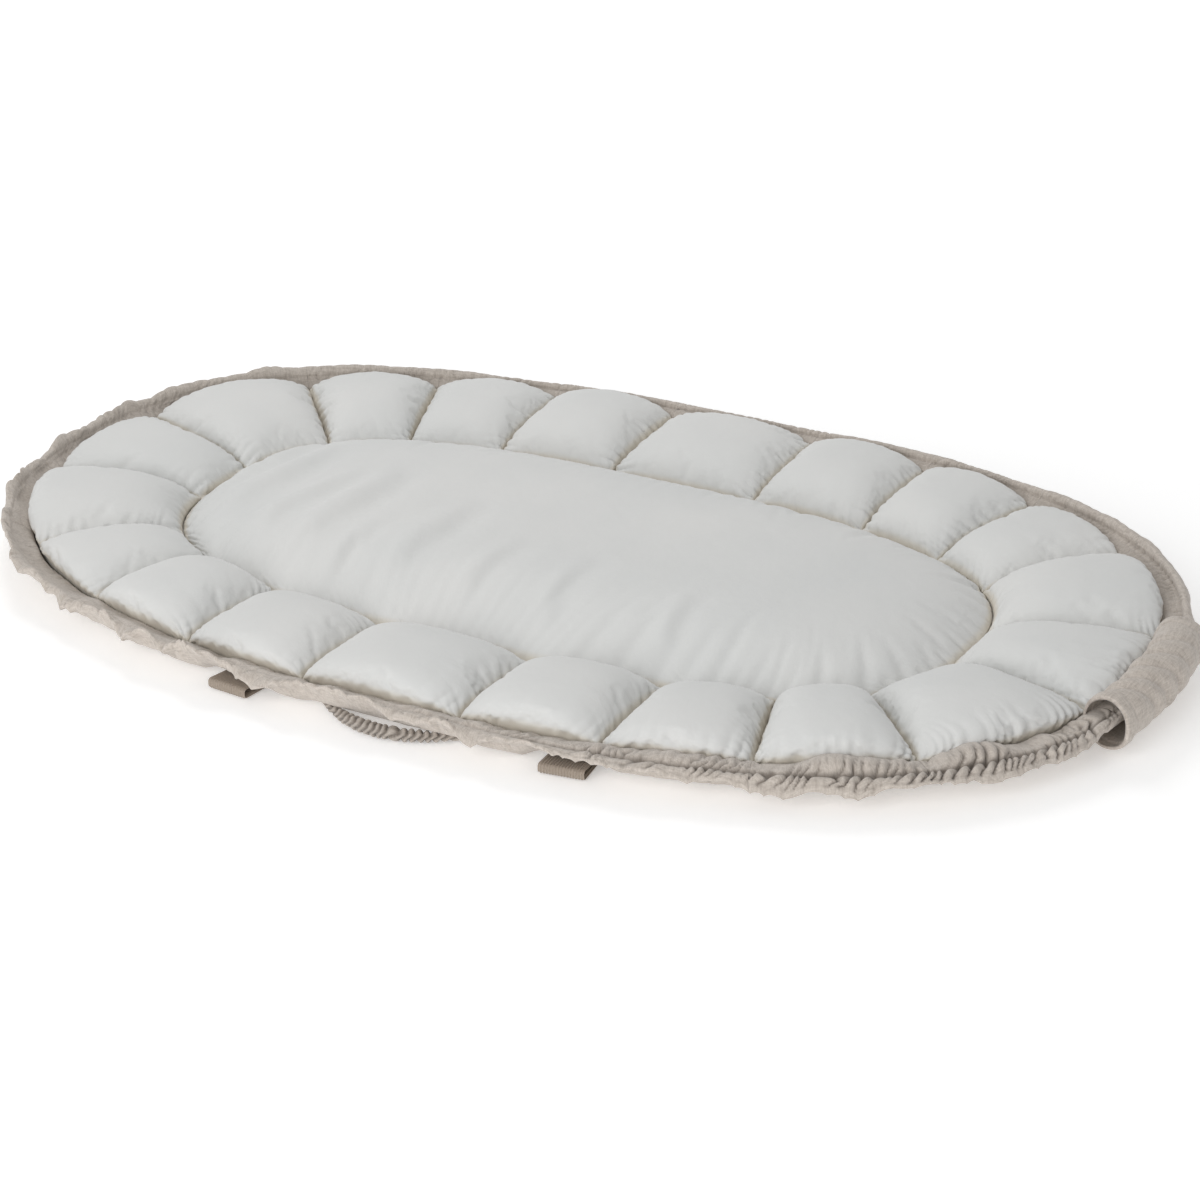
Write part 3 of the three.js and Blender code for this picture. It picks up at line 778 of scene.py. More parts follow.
def folded(top):
    for x, y, degrees, length, depth, width in padFolds:
        way = np.array([math.cos(math.radians(degrees)), math.sin(math.radians(degrees))])
        away = top[..., :2] - (x, y)
        bend = 0.006 * clouds(away[..., 0], away[..., 1], 0.05, 5)
        along = away @ way / length
        side = (away @ np.array([-way[1], way[0]]) + bend) / width
        fade = smooth(3 * along) * smooth(2 * (1 - along))
        top = top + np.array([0, 0, 1]) * (depth * side * np.exp(0.5 - side**2 / 2) * fade)[..., None]
    return top


def withinPad(top):
    oval = insideOval(top[..., :2], padSeam.size / 2 - padShape["inset"], plan["padSquareness"])
    flat = top[..., :2] / np.maximum(oval, 1)[..., None]
    return raised(flat, np.maximum(top[..., 2], plan["foldHeight"] + plan["seamGap"]))


def makePad(top):
    top = withinPad(folded(puckered(top, [pucker["pad"]] * 4, padShape["seed"])))
    flat, share = padGrid(2)
    fold = np.clip((1 - share) * plan["padWidth"] / 2 / plan["foldRun"], 0, 1)
    height = lerp(plan["foldHeight"], plan["linen"], fold) + padShape["restsAbove"]
    piece = makeCushion("centre_pad", top, raised(flat, height), padShape["seamSteps"])
    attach(piece, "mat")
    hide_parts("centre_cover", "centre_fill")


# The white cloth settles over its filling, held along the seams
settling = {
    "frames": 20,
    "pressure": 50,
    "mass": 0.005,  # of a point, in kilograms
    "tension": 30,
    "bending": 0.004,
    "fullAtSeams": 0.065,  # cloth beyond the plain shape
    "padShare": 0.3,
    "fullInside": 0.012,
    "seamBand": 9,  # grid steps
    "furthest": 0.013,
    "quality": 5,
}


def settle(grids):
    sizes = [grid.shape[:2] for grid in grids]
    starts = np.cumsum([0] + [rows * columns for rows, columns in sizes])
    points = np.concatenate([grid.reshape(-1, 3) for grid in grids])
    quads = []
    for grid, start, (rows, columns) in zip(grids, starts, sizes):
        faces = quadsOf(start + np.arange(rows * columns).reshape(rows, columns))
        a, b, c = (points[faces[:, k]] for k in range(3))
        upwards = np.cross(b - a, c - a)[:, 2].sum() > 0
        quads.append(faces if upwards else faces[:, ::-1])
    inside = np.concatenate([fromEdge(*size).ravel() for size in sizes])
    onPad = np.arange(len(points)) >= starts[-2]
    mesh = bpy.data.meshes.new("coverTrial")
    mesh.from_pydata(points.tolist(), [], np.concatenate(quads).tolist())
    cover = addToScene("coverTrial", mesh)
    seams = cover.vertex_groups.new(name="seams")
    seams.add(np.flatnonzero(inside == 0).tolist(), 1, "REPLACE")
    full = cover.vertex_groups.new(name="full")
    for step in range(settling["seamBand"]):
        near = 1 - float(smooth(step / settling["seamBand"]))
        full.add(np.flatnonzero((inside == step) & ~onPad).tolist(), near, "REPLACE")
        full.add(np.flatnonzero((inside == step) & onPad).tolist(), near * settling["padShare"], "REPLACE")
    cloth = cover.modifiers.new("cloth", "CLOTH")
    cloth.collision_settings.use_collision = False
    cloth.collision_settings.use_self_collision = False
    how = cloth.settings
    how.vertex_group_mass = "seams"
    how.vertex_group_shrink = "full"
    how.shrink_min, how.shrink_max = -settling["fullInside"], -settling["fullAtSeams"]
    how.quality = settling["quality"]
    how.mass = settling["mass"]
    how.tension_stiffness = how.compression_stiffness = settling["tension"]
    how.shear_stiffness = settling["tension"] / 2
    how.bending_stiffness = settling["bending"]
    how.use_pressure = True
    how.uniform_pressure_force = settling["pressure"]
    how.effector_weights.gravity = 0
    scene = bpy.context.scene
    for moment in range(1, settling["frames"] + 1):
        scene.frame_set(moment)
    settled = cover.evaluated_get(bpy.context.evaluated_depsgraph_get()).to_mesh()
    after = np.empty(len(points) * 3, np.float32)
    settled.vertices.foreach_get("co", after)
    scene.frame_set(1)
    bpy.data.objects.remove(cover)
    move = after.reshape(-1, 3) - points
    far = np.maximum(np.linalg.norm(move, axis=1), 1e-9)
    move *= (np.tanh(far / settling["furthest"]) * settling["furthest"] / far)[:, None]
    print("cover moved up to", round(float(far.max()) * 1000, 1), "mm")
    points = points + move
    return [points[a:b].reshape(*size, 3) for a, b, size in zip(starts, starts[1:], sizes)]


def makeBase():
    flat, share = padGrid(1)
    run = plan["foldRun"] / (plan["padWidth"] / 2)
    rise = np.clip(1 - (1 - share) / run, 0, 1)
    high = lerp(plan["linen"], plan["foldHeight"], rise)
    points, quads = closeBelow(raised(flat, high), raised(flat, high - plan["linen"]))
    cloth = clothPlaces(points[:, 0], points[:, 1])
    piece = makePiece("base_linen", points, quads, linen, "greige_linen", cloth=cloth)
    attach(piece, "mat")
    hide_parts("base_panel")


loop = {
    "width": 0.038,
    "thick": 0.0018,
    "reach": 0.022,
    "root": -0.020,
    "crown": 0.010,
    "floor": 0.0004,
    "spacing": 0.300,
    "shift": 0.018,
    "rib": 0.0024,
    "ribDepth": 0.0004,
    "bend": 0.0032,
    "weave": 0.0009,
}

# Linen side pieces with the gathered rim. Each row is a place on the section: its distance past the outer
# seam in shares of the casing's reach and radius, and its height in shares of the casing's height and radius.
rimSection = {
    "lyingShares": [
        (0.55, 0, 0.62, 0),
        (0.95, 0, 1, -0.36),
        (1, 0.88, 1, -0.44),
        (1, 1.08, 1, -0.40),
        (1, 0.92, 1, -0.05),
        (1, 0.60, 1, 0.26),
        (1, 0.10, 1, 0.26),
        (0.78, 0, 1, 0.70),
        (0.36, 0, 1, 0.62),
        (0.04, 0, 1, 0.10),
    ],
    "lipShares": [
        (0.55, 0, 0.62, 0),
        (0.92, 0, 0.95, -0.30),
        (0.98, 0.45, 1, -0.20),
        (1, 0.80, 1, 0.08),
        (1, 0.62, 1, 0.40),
        (1, 0.30, 1, 0.42),
        (1, -0.10, 1, 0.36),
        (0.75, 0, 0.97, 0.28),
        (0.40, 0, 0.85, 0.20),
        (0.06, 0, 0.8, 0.05),
    ],
    "standingShares": [
        (0.8, 0.20, 0.62, 0),
        (0.95, 0.42, 0.92, 0),
        (0.95, 0.62, 1, 0.25),
        (0.95, 0.58, 1, 0.78),
        (0.95, 0.32, 1, 1.05),
        (0.90, 0.00, 1, 0.86),
        (0.85, -0.10, 1, 0.25),
        (0.75, -0.10, 1, -0.15),
        (0.50, 0, 0.9, 0),
        (0.22, 0, 0.8, 0),
    ],
    "sags": (0.008, 0.006, 0.002),  # of the first points, where the wall hangs
    "sagLowest": 0.002,
    "sagAtHandleShare": 0.6,
    "lowest": 0.0006,
    "edge": 4,
    "hem": 5,
    "stitch": 7,
    "steps": 6,
    # by sixteenths of a turn from the foot end over the back
    "gatherShares": [0.9, 0.4, 0.25, 0.25, 0.3, 0.3, 0.3, 0.4, 0.6, 0.55, 0.5, 0.5, 0.65, 1.1, 1.35, 1.4],
    "bandShares": [1, 1, 0.95, 0.9, 0.9, 0.9, 0.9, 0.9, 0.85, 0.8, 0.85, 0.9, 0.9, 0.95, 1, 1],
    "waveShares": [1, 0.6, 0.4, 0.35, 0.35, 0.35, 0.4, 0.7, 1.2, 2, 2.3, 2.2, 1.8, 1.3, 1.4, 1.2],
    "fineShares": [1, 1, 1, 1, 1, 1, 0.9, 0.7, 0.4, 0.15, 0.1, 0.1, 0.25, 0.9, 1.1, 1.1],
    "gather": 0.0038,
    "gatherSpacing": 0.0080,
    "wander": 0.0035,
    "slant": 0.0030,
    "puff": 0.0050,
    "puffSpacing": 0.050,
    "wave": 0.0040,
    "waveSpacing": 0.024,
    "frill": 0.0010,
    "swing": 0.0026,
    "swingSpacing": 0.085,
    "pinch": 0.0016,
}


def sagging(stations):
    # how far the wall hangs: 1 where it lies free, less at a handle, 0 at the loops and where it stands
    clear = np.ones(len(stations.angle))
    for axis, side in ((-math.pi / 2, -1), (math.pi / 2, 1)):
        held = [(loop["shift"] + way * loop["spacing"] / 2, loop["width"], 0) for way in (-1, 1)]
        for offset, wide, least in held + [(handle["shift"], handle["span"], rimSection["sagAtHandleShare"])]:
            away = np.abs(stations.along - ringSeam.distance(axis) - side * offset)
            away = np.minimum(away, ringSeam.total - away)
            clear *= lerp(least, 1, smooth((away - wide / 2 - 0.004) / 0.022))
    return clear * (1 - standing(stations.angle)) ** 2


def sectionPlaces(stations):
    # one row of section points for each station: distance past the outer seam, and height
    wall = stations.wall
    rise = standing(stations.angle)[:, None, None]
    forms = ("lyingShares", "lipShares", "standingShares")
    lying, lip, upright = (np.array(rimSection[form])[None] for form in forms)
    asLip = np.clip(1.15 - around(rimSection["fineShares"], stations.angle), 0, 1)[:, None, None]
    shares = lerp(lerp(lying, lip, asLip), upright, rise)
    radius = (rim["casing"] * around(rimSection["bandShares"], stations.angle))[:, None]
    x = shares[..., 0] * wall.reach[:, None] + shares[..., 1] * radius
    z = shares[..., 2] * wall.height[:, None] + shares[..., 3] * radius
    zero = np.zeros(len(stations.angle))
    x = np.column_stack([zero, x, zero])
    z = np.column_stack([wall.under(0), z, wall.over(0)])
    sag = sagging(stations)
    for place, depth in enumerate(rimSection["sags"]):
        z[:, place] = np.maximum(z[:, place] - depth * sag, rimSection["sagLowest"])
    return np.stack([x, z], -1)


def gathered(section, stations):
    # creases on both sides of the stitched line, puffs inside it, and a waving hem outside, with a mask of
    # painted shade for them
    shape = rimSection
    place = (np.arange(section.shape[1]) / shape["steps"])[None]
    distance, total = stations.along[:, None], ringSeam.total
    names = ("gatherShares", "fineShares", "waveShares")
    strong, fineShare, calm = (around(shape[name], stations.angle)[:, None] for name in names)
    rise = standing(stations.angle)[:, None]
    tangent = unit(np.gradient(section, axis=1))
    # a section runs out below and back above, so this is its outer side
    normal = np.stack([tangent[..., 1], -tangent[..., 0]], -1)
    fromStitch = place - shape["stitch"]
    wander = shape["wander"] * clouds(distance / total * 256, place, 1, 3)
    slanted = distance + wander + shape["slant"] * fromStitch
    fine = ringPleats(slanted, total, shape["gatherSpacing"], 11)
    middling = ringPleats(slanted, total, 2.3 * shape["gatherSpacing"], 13)
    onBand = smooth(place - shape["hem"] + 0.6) * smooth(shape["stitch"] - place + 0.4)
    inside = smooth(fromStitch / 1.2) * smooth((place[0, -1] - place) / 1.6)
    below = smooth((shape["edge"] - place) / 0.8) * smooth(place / 2)
    uneven = np.clip(0.8 + 1.1 * clouds(distance / total * 128, 0.5 * place, 1, 14), 0.1, 1.7)
    fineWeight = fineShare * np.maximum(np.exp(-((fromStitch / 1.5) ** 2)), 0.8 * onBand)
    broadWeight = 0.5 * np.maximum(inside, below) + (1 - np.minimum(fineShare, 1)) * onBand
    swell = shape["gather"] * strong * uneven * ((fine - 0.65) * fineWeight + (middling - 0.6) * broadWeight)
    puffs = 0.7 * ripple(distance, total, shape["puffSpacing"], 12) + 0.5 * ripple(distance, total, 0.019, 16)
    puffy = np.maximum(strong, 0.7 - 0.5 * rise) * np.maximum(inside, 0.5 * below)
    swell = swell + shape["puff"] * puffs * puffy
    crease = np.exp(-((fromStitch / 0.30) ** 2)) + 0.3 * np.exp(-(((place - shape["hem"]) / 0.25) ** 2))
    swell = swell - shape["pinch"] * fineShare * crease
    onEdge = np.exp(-(((place - shape["edge"]) / (1.3 + 0.8 * np.clip(1 - fineShare, 0, 1))) ** 2))
    wave = shape["wave"] * ripple(distance, total, shape["waveSpacing"], 21)
    wave = wave + shape["frill"] * (2 * ringPleats(distance, total, 0.6 * shape["waveSpacing"], 23) - 1)
    section = section + normal * swell[..., None]
    swing = shape["swing"] * ripple(distance, total, shape["swingSpacing"], 22)
    section[..., 1] += (wave * calm + swing) * onEdge
    section[..., 0] += 0.6 * shape["wave"] * calm * onEdge * ripple(distance, total, 0.017, 24)
    # painted shade: darkest in the valleys of the gathers and along the stitched crease, and a little on the
    # inner face of a standing wall
    fineValleys = np.clip((0.6 - fine) / 0.6, 0, 1) * fineWeight
    valleys = fineValleys + np.clip((0.3 - middling) / 0.3, 0, 1) * broadWeight
    shade = 1.4 * strong * uneven * valleys + 0.7 * fineShare * crease * strong + 0.3 * rise * inside
    return section, np.clip(shade, 0, 1)


def makeSidePanel(number):
    wide = ringSeam.marks[number] - ringSeam.marks[number - 1]
    count = max(24, round(wide / rim["stationStep"]))
    stations = Stations(number, np.linspace(0, 1, count + 1), 0)
    section, shade = gathered(curveThrough(sectionPlaces(stations), rimSection["steps"]), stations)
    if number == footChannel:
        section = notched(section, stations)
    section[..., 1] = np.maximum(section[..., 1], rimSection["lowest"])
    length = stations.length[:, None]
    foot = length - rim["wallRun"]
    fold = np.full_like(length, plan["foldRun"])
    zero = np.zeros_like(length)
    under = np.concatenate([zero, fold, foot], 1)
    underHeight = np.concatenate([zero + plan["foldHeight"] - plan["linen"], zero, zero], 1)
    over = np.concatenate([foot, fold, zero], 1)
    overHeight = stations.linenTop(over)
    distance = np.concatenate([under, length + section[..., 0], over], 1)
    height = np.concatenate([underHeight, section[..., 1], overHeight], 1)
    outline = stations.spot(distance, height)
    shade = np.pad(shade, ((0, 0), (under.shape[1], over.shape[1])))
    walked = arcs(outline, 1)
    cloth = clothPlaces(stations.along[:, None], walked)
    quads = closedQuads(*outline.shape[:2])
    name = f"side_linen_{number:02d}"
    # the fold mask carries the painted shade of the gathers
    piece = makePiece(name, outline, quads, linen, "greige_linen", cloth=cloth, fold=shade)
    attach(piece, f"side_{number:02d}")
    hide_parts(f"side_panel_{number:02d}")
    inner = padSeam.marks[number] - padSeam.marks[number - 1]


def notched(section, stations):
    # inside the sleeve the casing stops, and the wall ends in a hem
    low, high = rim["notchShares"]
    ramp = rim["notchRamp"]
    share = smooth((stations.shares - low + ramp) / ramp) * smooth((high + ramp - stations.shares) / ramp)
    wall = stations.wall
    hem = lerp(-rim["wallRun"], wall.reach, rim["notchHem"])
    place = np.linspace(0, 1, section.shape[1])[None]
    out = 1 - np.abs(2 * place - 1)
    x = hem[:, None] * np.clip(out * 1.25, 0, 1)
    under = Wall(stations.angle[:, None]).under(x)
    over = Wall(stations.angle[:, None]).over(x)
    plain = np.stack([x, lerp(under, over, smooth((place - 0.42) / 0.16))], -1)
    return lerp(section, plain, share[:, None, None])


# Closure sleeve
sleeve = {
    "radius": 0.0212,
    "length": 0.152,
    "shift": 0.008,  # towards the front
    "cloth": 0.0022,
    "columns": 150,
    "arc": 72,
    "pleat": 0.0034,
    # where each fold lies along the sleeve, its depth and its width, as shares
    "foldShares": [
        (0.30, 0.9, 0.030),
        (0.17, 1.1, 0.034),
        (0.02, 1, 0.030),
        (-0.15, 0.9, 0.034),
        (-0.30, 0.7, 0.03),
    ],
    "crumple": 0.0012,
    "hemWidth": 0.009,
    "hem": 0.0012,
}


def sleeveLips(angle):
    # the turns round the casing at which the sleeve meets the lower and the upper face of the wall
    wall = Wall(angle[:, None])
    sweep = np.linspace(-math.pi / 4, -math.pi, 400)[None]
    x, z = wall.reach + sleeve["radius"] * np.cos(sweep), wall.height + sleeve["radius"] * np.sin(sweep)
    low = sweep[0, np.argmax(z > wall.under(x) - plan["linen"], 1)]
    sweep = np.linspace(math.pi / 2, 1.5 * math.pi, 400)[None]
    x, z = wall.reach + sleeve["radius"] * np.cos(sweep), wall.height + sleeve["radius"] * np.sin(sweep)
    high = sweep[0, np.argmax(z < wall.over(x) + plan["linen"], 1)]
    return low, high


def makeSleeve():
    along = np.linspace(-0.5, 0.5, sleeve["columns"] + 1)
    distance = ringSeam.distance(0) + sleeve["shift"] + along * sleeve["length"]
    angle = ringSeam.angle(distance)
    low, high = sleeveLips(angle)
    wall = Wall(angle[:, None])
    turn = lerp(low[:, None], high[:, None], np.linspace(0, 1, sleeve["arc"] + 1)[None])
    slant = along[:, None] + 0.07 * np.cos(turn + 0.6)
    folds = 0
    for middle, deep, wide in sleeve["foldShares"]:
        folds = folds - deep * np.exp(-(((slant - middle) / wide) ** 2))
    calm = np.clip(np.sin((turn - low[:, None]) / (high - low)[:, None] * math.pi) * 1.6, 0, 1)
    radius = sleeve["radius"] + sleeve["pleat"] * folds * calm
    crumple = clouds(along[:, None] * sleeve["length"], turn * 0.02, 0.014, 31)
    radius = radius + sleeve["crumple"] * crumple * calm
    fromMouth = (0.5 - np.abs(along[:, None])) * sleeve["length"] / sleeve["hemWidth"]
    inHem = smooth((1 - fromMouth) * 5 + 0.5)
    rolled = np.sqrt(np.clip(1 - np.clip(1 - fromMouth * 3, 0, 1) ** 2, 0, 1))
    radius = radius + sleeve["hem"] * inHem * rolled
    base, out = ringSeam.point(angle)[:, None], ringSeam.normal(angle)[:, None]

    def shell(size):
        x = wall.reach + size * np.cos(turn)
        z = np.maximum(wall.height + size * np.sin(turn), 0.002)
        return raised(base + out * x[..., None], z)

    outer, inner = shell(radius), shell(radius - sleeve["cloth"])
    section = np.concatenate([outer, inner[:, ::-1]], 1)
    walked = np.concatenate([turn, turn[:, ::-1]], 1) * sleeve["radius"]
    cloth = clothPlaces(distance[:, None], walked)
    quads = closedQuads(*section.shape[:2])
    piece = makePiece("closure_sleeve_linen", section, quads, linen, "greige_linen", cloth=cloth)
    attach(piece, "side_12")
    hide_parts("closure_sleeve")


# Webbing loops
def roundedPath(corners, radius, steps):
    # a flat path through corners, each turned with an arc-like bend
    path = [corners[0]]
    for before, corner, after in zip(corners, corners[1:], corners[2:]):
        first = corner + (before - corner) / np.linalg.norm(before - corner) * radius
        last = corner + (after - corner) / np.linalg.norm(after - corner) * radius
        for t in np.linspace(0, 1, steps):
            path.append(lerp(lerp(first, corner, t), lerp(corner, last, t), t))
    path.append(corners[-1])
    return np.array(path)


def evenly(path, count):
    steps = arcs(path, 0)
    at = np.linspace(0, steps[-1], count)
    return np.stack([np.interp(at, steps, path[:, k]) for k in range(path.shape[1])], 1)


def makeLoop(side, end, axis, distance, body):
    middle = ringSeam.distance(axis) + distance
    angle = ringSeam.angle(middle)
    thick, floor, crown, reach = loop["thick"], loop["floor"], loop["crown"], loop["reach"]
    wall = Wall(ringSeam.angle(np.array([middle - loop["width"] / 2, middle, middle + loop["width"] / 2])))
    low = float(wall.under(loop["root"]).min()) - 0.0008
    corners = np.array([
        (loop["root"], floor + thick / 2),
        (reach - thick / 2, floor + thick / 2),
        (reach - thick / 2, crown - thick / 2),
        (-0.004, min(crown, float(wall.under(-0.004).min())) - thick / 2 - 0.0004),
        (loop["root"] + 0.002, max(low - thick / 2, floor + 1.6 * thick)),
    ])
    path = evenly(roundedPath(corners, loop["bend"], 7), 90)
    tangent = unit(np.gradient(path, axis=0))
    normal = np.stack([tangent[:, 1], -tangent[:, 0]], 1)
    wide = np.linspace(-0.5, 0.5, 121)
    ribs = loop["ribDepth"] * np.cos(2 * math.pi * wide * loop["width"] / loop["rib"])
    edge = np.sqrt(np.clip(1 - np.abs(2 * wide) ** 24, 0, 1))
    half = (thick / 2 - loop["ribDepth"] + ribs) * np.maximum(edge, 0.12)
    base, out = ringSeam.point(angle), ringSeam.normal(angle)
    along = np.array([-out[1], out[0]])

    def face(sign):
        flat = path[:, None] + sign * normal[:, None] * half[None, :, None]
        plane = base + out * flat[..., :1] + along * (wide * loop["width"])[None, :, None]
        return np.concatenate([plane, flat[..., 1:]], -1)

    upper, lower = face(1), face(-1)
    section = np.concatenate([upper, lower[:, ::-1]], 1)
    across = np.concatenate([wide, wide[::-1]]) * loop["width"]
    down = np.arange(len(path)) * loop["weave"]
    cloth = clothPlaces(across[None], down[:, None])
    quads = closedQuads(*section.shape[:2])
    piece = makePiece(f"belt_loop_{side}_{end}", section, quads, webbing, "webbing", cloth=cloth)
    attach(piece, body)
    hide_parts(f"webbing_loop_{side}_{end}")


# Gathered handles
handle = {
    "radius": 0.0060,
    "span": 0.130,
    "shift": 0.011,
    "reach": 0.021,
    "root": 0.004,
    "endShare": 0.46,
    "floor": 0.0004,
    "pleats": 21,
    "pleatDepth": 0.0033,
    "crinkle": 0.00035,
    "rings": 260,
    "sides": 28,
}


def makeHandle(side, axis):
    share = np.linspace(0, 1, handle["rings"] + 1)
    shift = handle["shift"] if axis > 0 else -handle["shift"]
    distance = ringSeam.distance(axis) + shift + (share - 0.5) * handle["span"]
    angle = ringSeam.angle(distance)
    bow = np.sin(math.pi * share)
    reach = lerp(-handle["root"], handle["reach"], bow)
    radius = handle["radius"] * lerp(handle["endShare"], 1, bow**0.8)
    sewn = Wall(angle).under(-handle["root"]) - 0.0003 - handle["radius"] * handle["endShare"]
    height = lerp(sewn, handle["floor"] + radius, bow)
    middle = raised(ringSeam.point(angle) + ringSeam.normal(angle) * reach[:, None], height)
    turn = np.linspace(0, 2 * math.pi, handle["sides"], endpoint=False)[None]
    wander = 0.35 * ripple(share * handle["span"], handle["span"], 0.011, 41 + len(side))[:, None]
    bent = wander + 0.5 * np.sin(turn) + 0.14 * np.sin(3 * turn)
    pleat = 1 - np.abs(np.sin(math.pi * (handle["pleats"] * share[:, None] + bent))) ** 0.7
    deep = handle["pleatDepth"] * np.clip(bow * 2.2, 0, 1)[:, None]
    size = radius[:, None] - deep * pleat + handle["crinkle"] * np.sin(5 * turn + 40 * share[:, None])
    tangent = unit(np.gradient(middle, axis=0))
    sideways = unit(np.cross([0, 0, 1], tangent))
    points = tubeRound(middle, tangent, sideways, size, turn)
    points[..., 2] = np.maximum(points[..., 2], handle["floor"])
    cloth = clothPlaces(3 * distance[:, None], turn * handle["radius"])
    # painted shade: the whole handle darker, as in the shade under the rim, and darkest in the grooves
    # between its pleats
    shade = np.minimum(smooth(pleat * 2) + 0.3, 1)
    name, quads = f"gathered_handle_{side}", closedQuads(*points.shape[:2])
    piece = makePiece(name, points, quads, linen, "greige_linen", cloth=cloth, fold=shade)
    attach(piece, f"handle_{side}")
    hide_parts(f"side_handle_{side}", f"handle_elastic_{side}")


# Drawcord across the gap in its casing
cord = {
    "radius": 0.0025,
    "strand": 0.00022,
    "strands": 4,
    "turns": 14,
    "rings": 160,
    "sides": 24,
    "notchEnd": 0.004,
}


def makeDrawcord():
    low, high = rim["notchShares"]
    shares = np.linspace(low + cord["notchEnd"], high - cord["notchEnd"], cord["rings"] + 1)
    stations = Stations(footChannel, shares, plan["seamGap"])
    wall = stations.wall
    middle = stations.spot((stations.length + wall.reach)[:, None], wall.height[:, None])[:, 0]
    turn = np.linspace(0, 2 * math.pi, cord["sides"], endpoint=False)[None]
    spin = np.linspace(0, 2 * math.pi * cord["turns"], len(shares))[:, None]
    plait = cord["strands"] * turn
    strands = np.abs(np.sin(plait + spin)) + np.abs(np.sin(plait - spin))
    size = cord["radius"] - cord["strand"] * (1 - strands / 2) * 2
    tangent = unit(np.gradient(middle, axis=0))
    # nearly level, so this is all but a unit vector
    sideways = np.cross([0, 0, 1], tangent)
    points = tubeRound(middle, tangent, sideways, size, turn)
    cloth = clothPlaces(spin * 0.001, turn * cord["radius"])
    quads = closedQuads(*points.shape[:2])
    piece = makePiece("braided_drawcord", points, quads, braid, "elastic", cloth=cloth)
    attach(piece, "side_12")
    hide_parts("drawcord")


# Spring of the cord lock, coiled to fill its part's box. The real one shortens as the plunger is pressed;
# this one keeps one length
spring = {"wire": 0.0009, "turns": 3, "travel": 0.003, "rings": 120, "sides": 16}


def makeSpring():
    low, high = (np.array(corner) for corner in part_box("cord_lock_spring"))
    wire = spring["wire"]
    share = np.linspace(0, 1, spring["rings"] + 1)
    x = lerp(low[0] + wire / 2, high[0] - wire / 2, share)
    angle = 2 * math.pi * spring["turns"] * share
    radius = (high[1] - low[1] - wire) / 2
    outwards = np.stack([np.zeros_like(angle), np.cos(angle), np.sin(angle)], 1)
    axis = np.array([1, 0, 0])
    middle = (low + high) / 2 * (1 - axis) + radius * outwards + x[:, None] * axis
    turn = np.linspace(0, 2 * math.pi, spring["sides"], endpoint=False)[None, :, None]
    points = middle[:, None] + wire / 2 * (outwards[:, None] * np.cos(turn) + axis * np.sin(turn))
    piece = makePiece("lock_spring_coil", points, closedQuads(*points.shape[:2]), steel, "steel")
    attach(piece, "side_12")
    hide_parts("cord_lock_spring")
    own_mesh(piece)


grids = [channelTop(number) for number in range(1, channelCount + 1)] + [padTop()]
grids = settle(grids)
grids = [finer(grid) for grid in grids]
for number, top in enumerate(grids[:-1], 1):
    makeChannel(number, top)
makePad(grids[-1])
print("cushions made")
makeBase()
for number in range(1, channelCount + 1):
    makeSidePanel(number)
print("linen made")
makeSleeve()
loopBodies = {("front", "head"): "side_18", ("front", "foot"): "side_16"}
loopBodies |= {("back", "head"): "side_06", ("back", "foot"): "side_08"}
for (side, end), body in loopBodies.items():
    axis = math.pi / 2 if side == "back" else -math.pi / 2
    towardsFoot = 1 if side == "back" else -1
    offset = loop["shift"] + (loop["spacing"] / 2 if end == "foot" else -loop["spacing"] / 2)
    makeLoop(side, end, axis, towardsFoot * offset, body)
for side, axis in (("front", -math.pi / 2), ("back", math.pi / 2)):
    makeHandle(side, axis)
makeDrawcord()
makeSpring()
for node in ("cord_lock_barrel", "cord_lock_plunger"):
    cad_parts[node].material_slots[0].material = plastic
print("fittings made")

# Floor and light
studio = {
    "floor": rgb(250, 250, 250),
    "floorGlow": 0.27,
    "farGlow": 0.6,  # the floor out of the lamps' reach
    "farFrom": 0.5,
    "farTo": 3,
    "floorReach": 8,
    "floorLevel": -0.0005,
    "world": 0.50,
    "key": 17,
    "keyPlace": (-1.3, 1.4, 2.0),
    "keySize": 1.2,
    "fill": 43,
    "fillPlace": (0.1, -2.9, 1.3),
    "fillSize": 2.2,
}


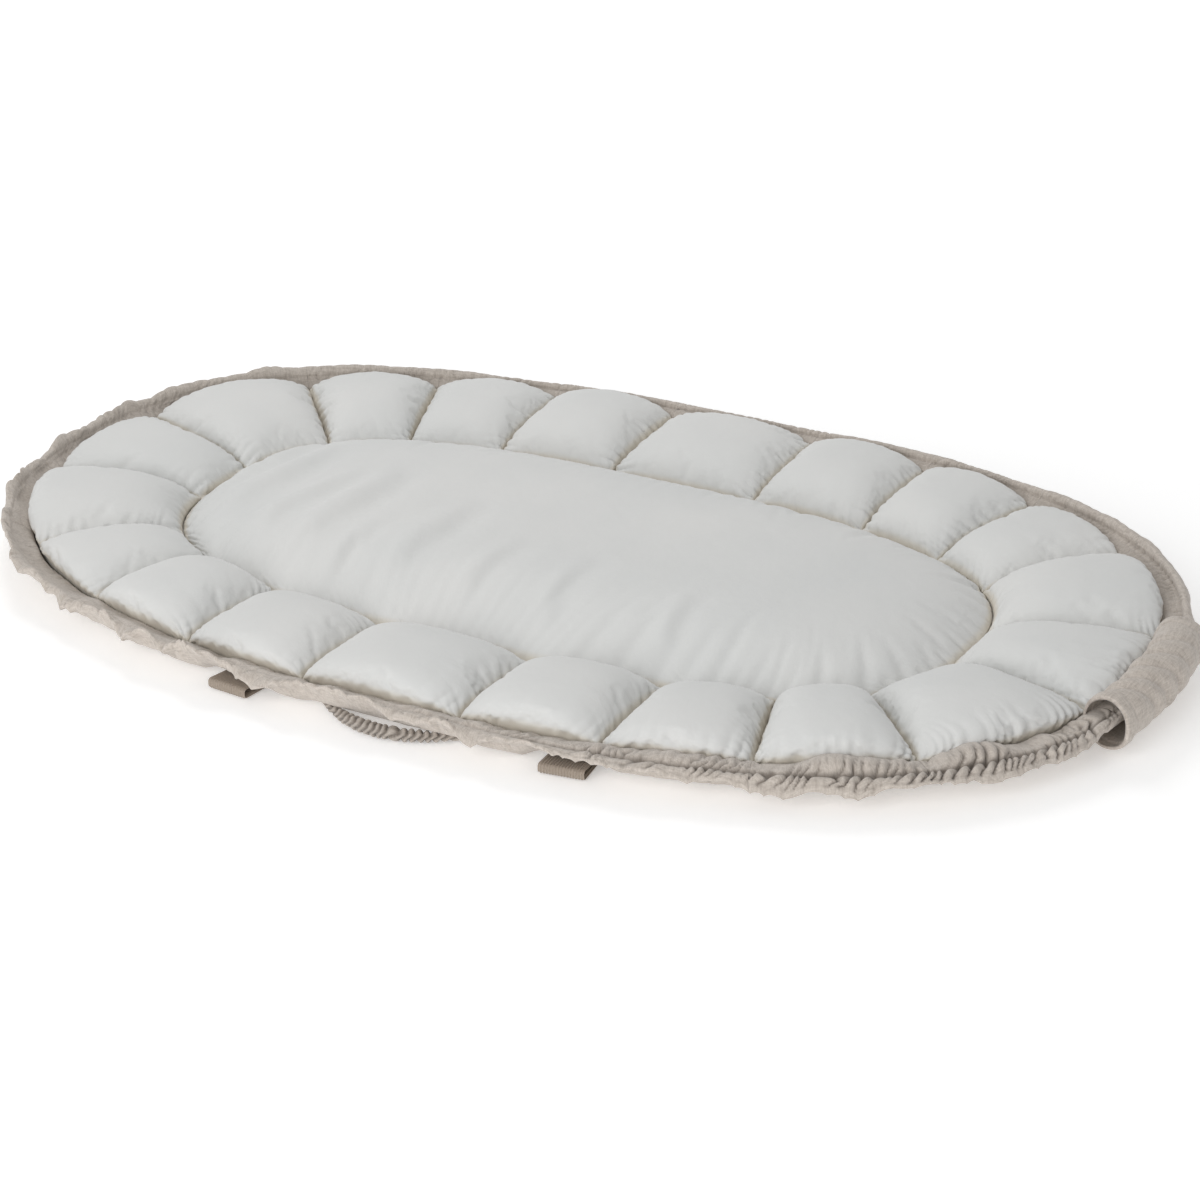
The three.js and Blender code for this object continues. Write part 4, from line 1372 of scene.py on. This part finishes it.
def addLamp(name, power, place, size):
    lamp = addToScene(name, bpy.data.lights.new(name, "AREA"))
    lamp.data.energy = power
    lamp.data.shape = "DISK"
    lamp.data.size = size
    lamp.location = place
    lamp.rotation_euler = (-Vector(place)).to_track_quat("-Z", "Y").to_euler()


def addFloor():
    mesh = bpy.data.meshes.new("floor")
    wide = studio["floorReach"]
    corners = [(-wide, -wide, 0), (wide, -wide, 0), (wide, wide, 0), (-wide, wide, 0)]
    mesh.from_pydata(corners, [], [(0, 1, 2, 3)])
    floor = addToScene("floor", mesh)
    fixed = {"Base Color": studio["floor"], "Roughness": 0.9, "Specular IOR Level": 0.1}
    finish = Finish("floorPaper", fixed | {"Emission Strength": 1})
    away = finish.node("ShaderNodeVectorMath", {"operation": "LENGTH"}, {0: finish.place()}, "Value")
    far = finish.ramp(away * 0.1, studio["farFrom"] * 0.1, studio["farTo"] * 0.1)
    near, beyond = ((glow, glow, glow, 1) for glow in (studio["floorGlow"], studio["farGlow"]))
    finish.wear("Emission Color", finish.mix(far, near, beyond))
    mesh.materials.append(finish.material)
    floor.location.z = studio["floorLevel"]


def lightWorld():
    world = bpy.data.worlds.new("studio")
    bpy.context.scene.world = world
    world.use_nodes = True
    # plain white where it is seen, and dimmer as a light
    network = Network(world.node_tree)
    rays = ("Is Camera Ray", "Is Glossy Ray", "Is Transmission Ray")
    camera, glossy, through = (network.node("ShaderNodeLightPath", {}, {}, ray) for ray in rays)
    seen = camera.calc("MAXIMUM", camera.calc("MAXIMUM", camera, glossy), through)
    strength = network.node(
        "ShaderNodeMapRange", {}, {"Value": seen, "To Min": studio["world"], "To Max": 1}
    )
    background = world.node_tree.nodes["Background"]
    network.feed(background.inputs["Strength"], strength)
    network.feed(background.inputs["Color"], (1, 1, 1, 1))


addFloor()
lightWorld()
addLamp("keyLamp", studio["key"], studio["keyPlace"], studio["keySize"])
addLamp("fillLamp", studio["fill"], studio["fillPlace"], studio["fillSize"])
bpy.context.scene.view_settings.view_transform = "Standard"
print("studio lit")
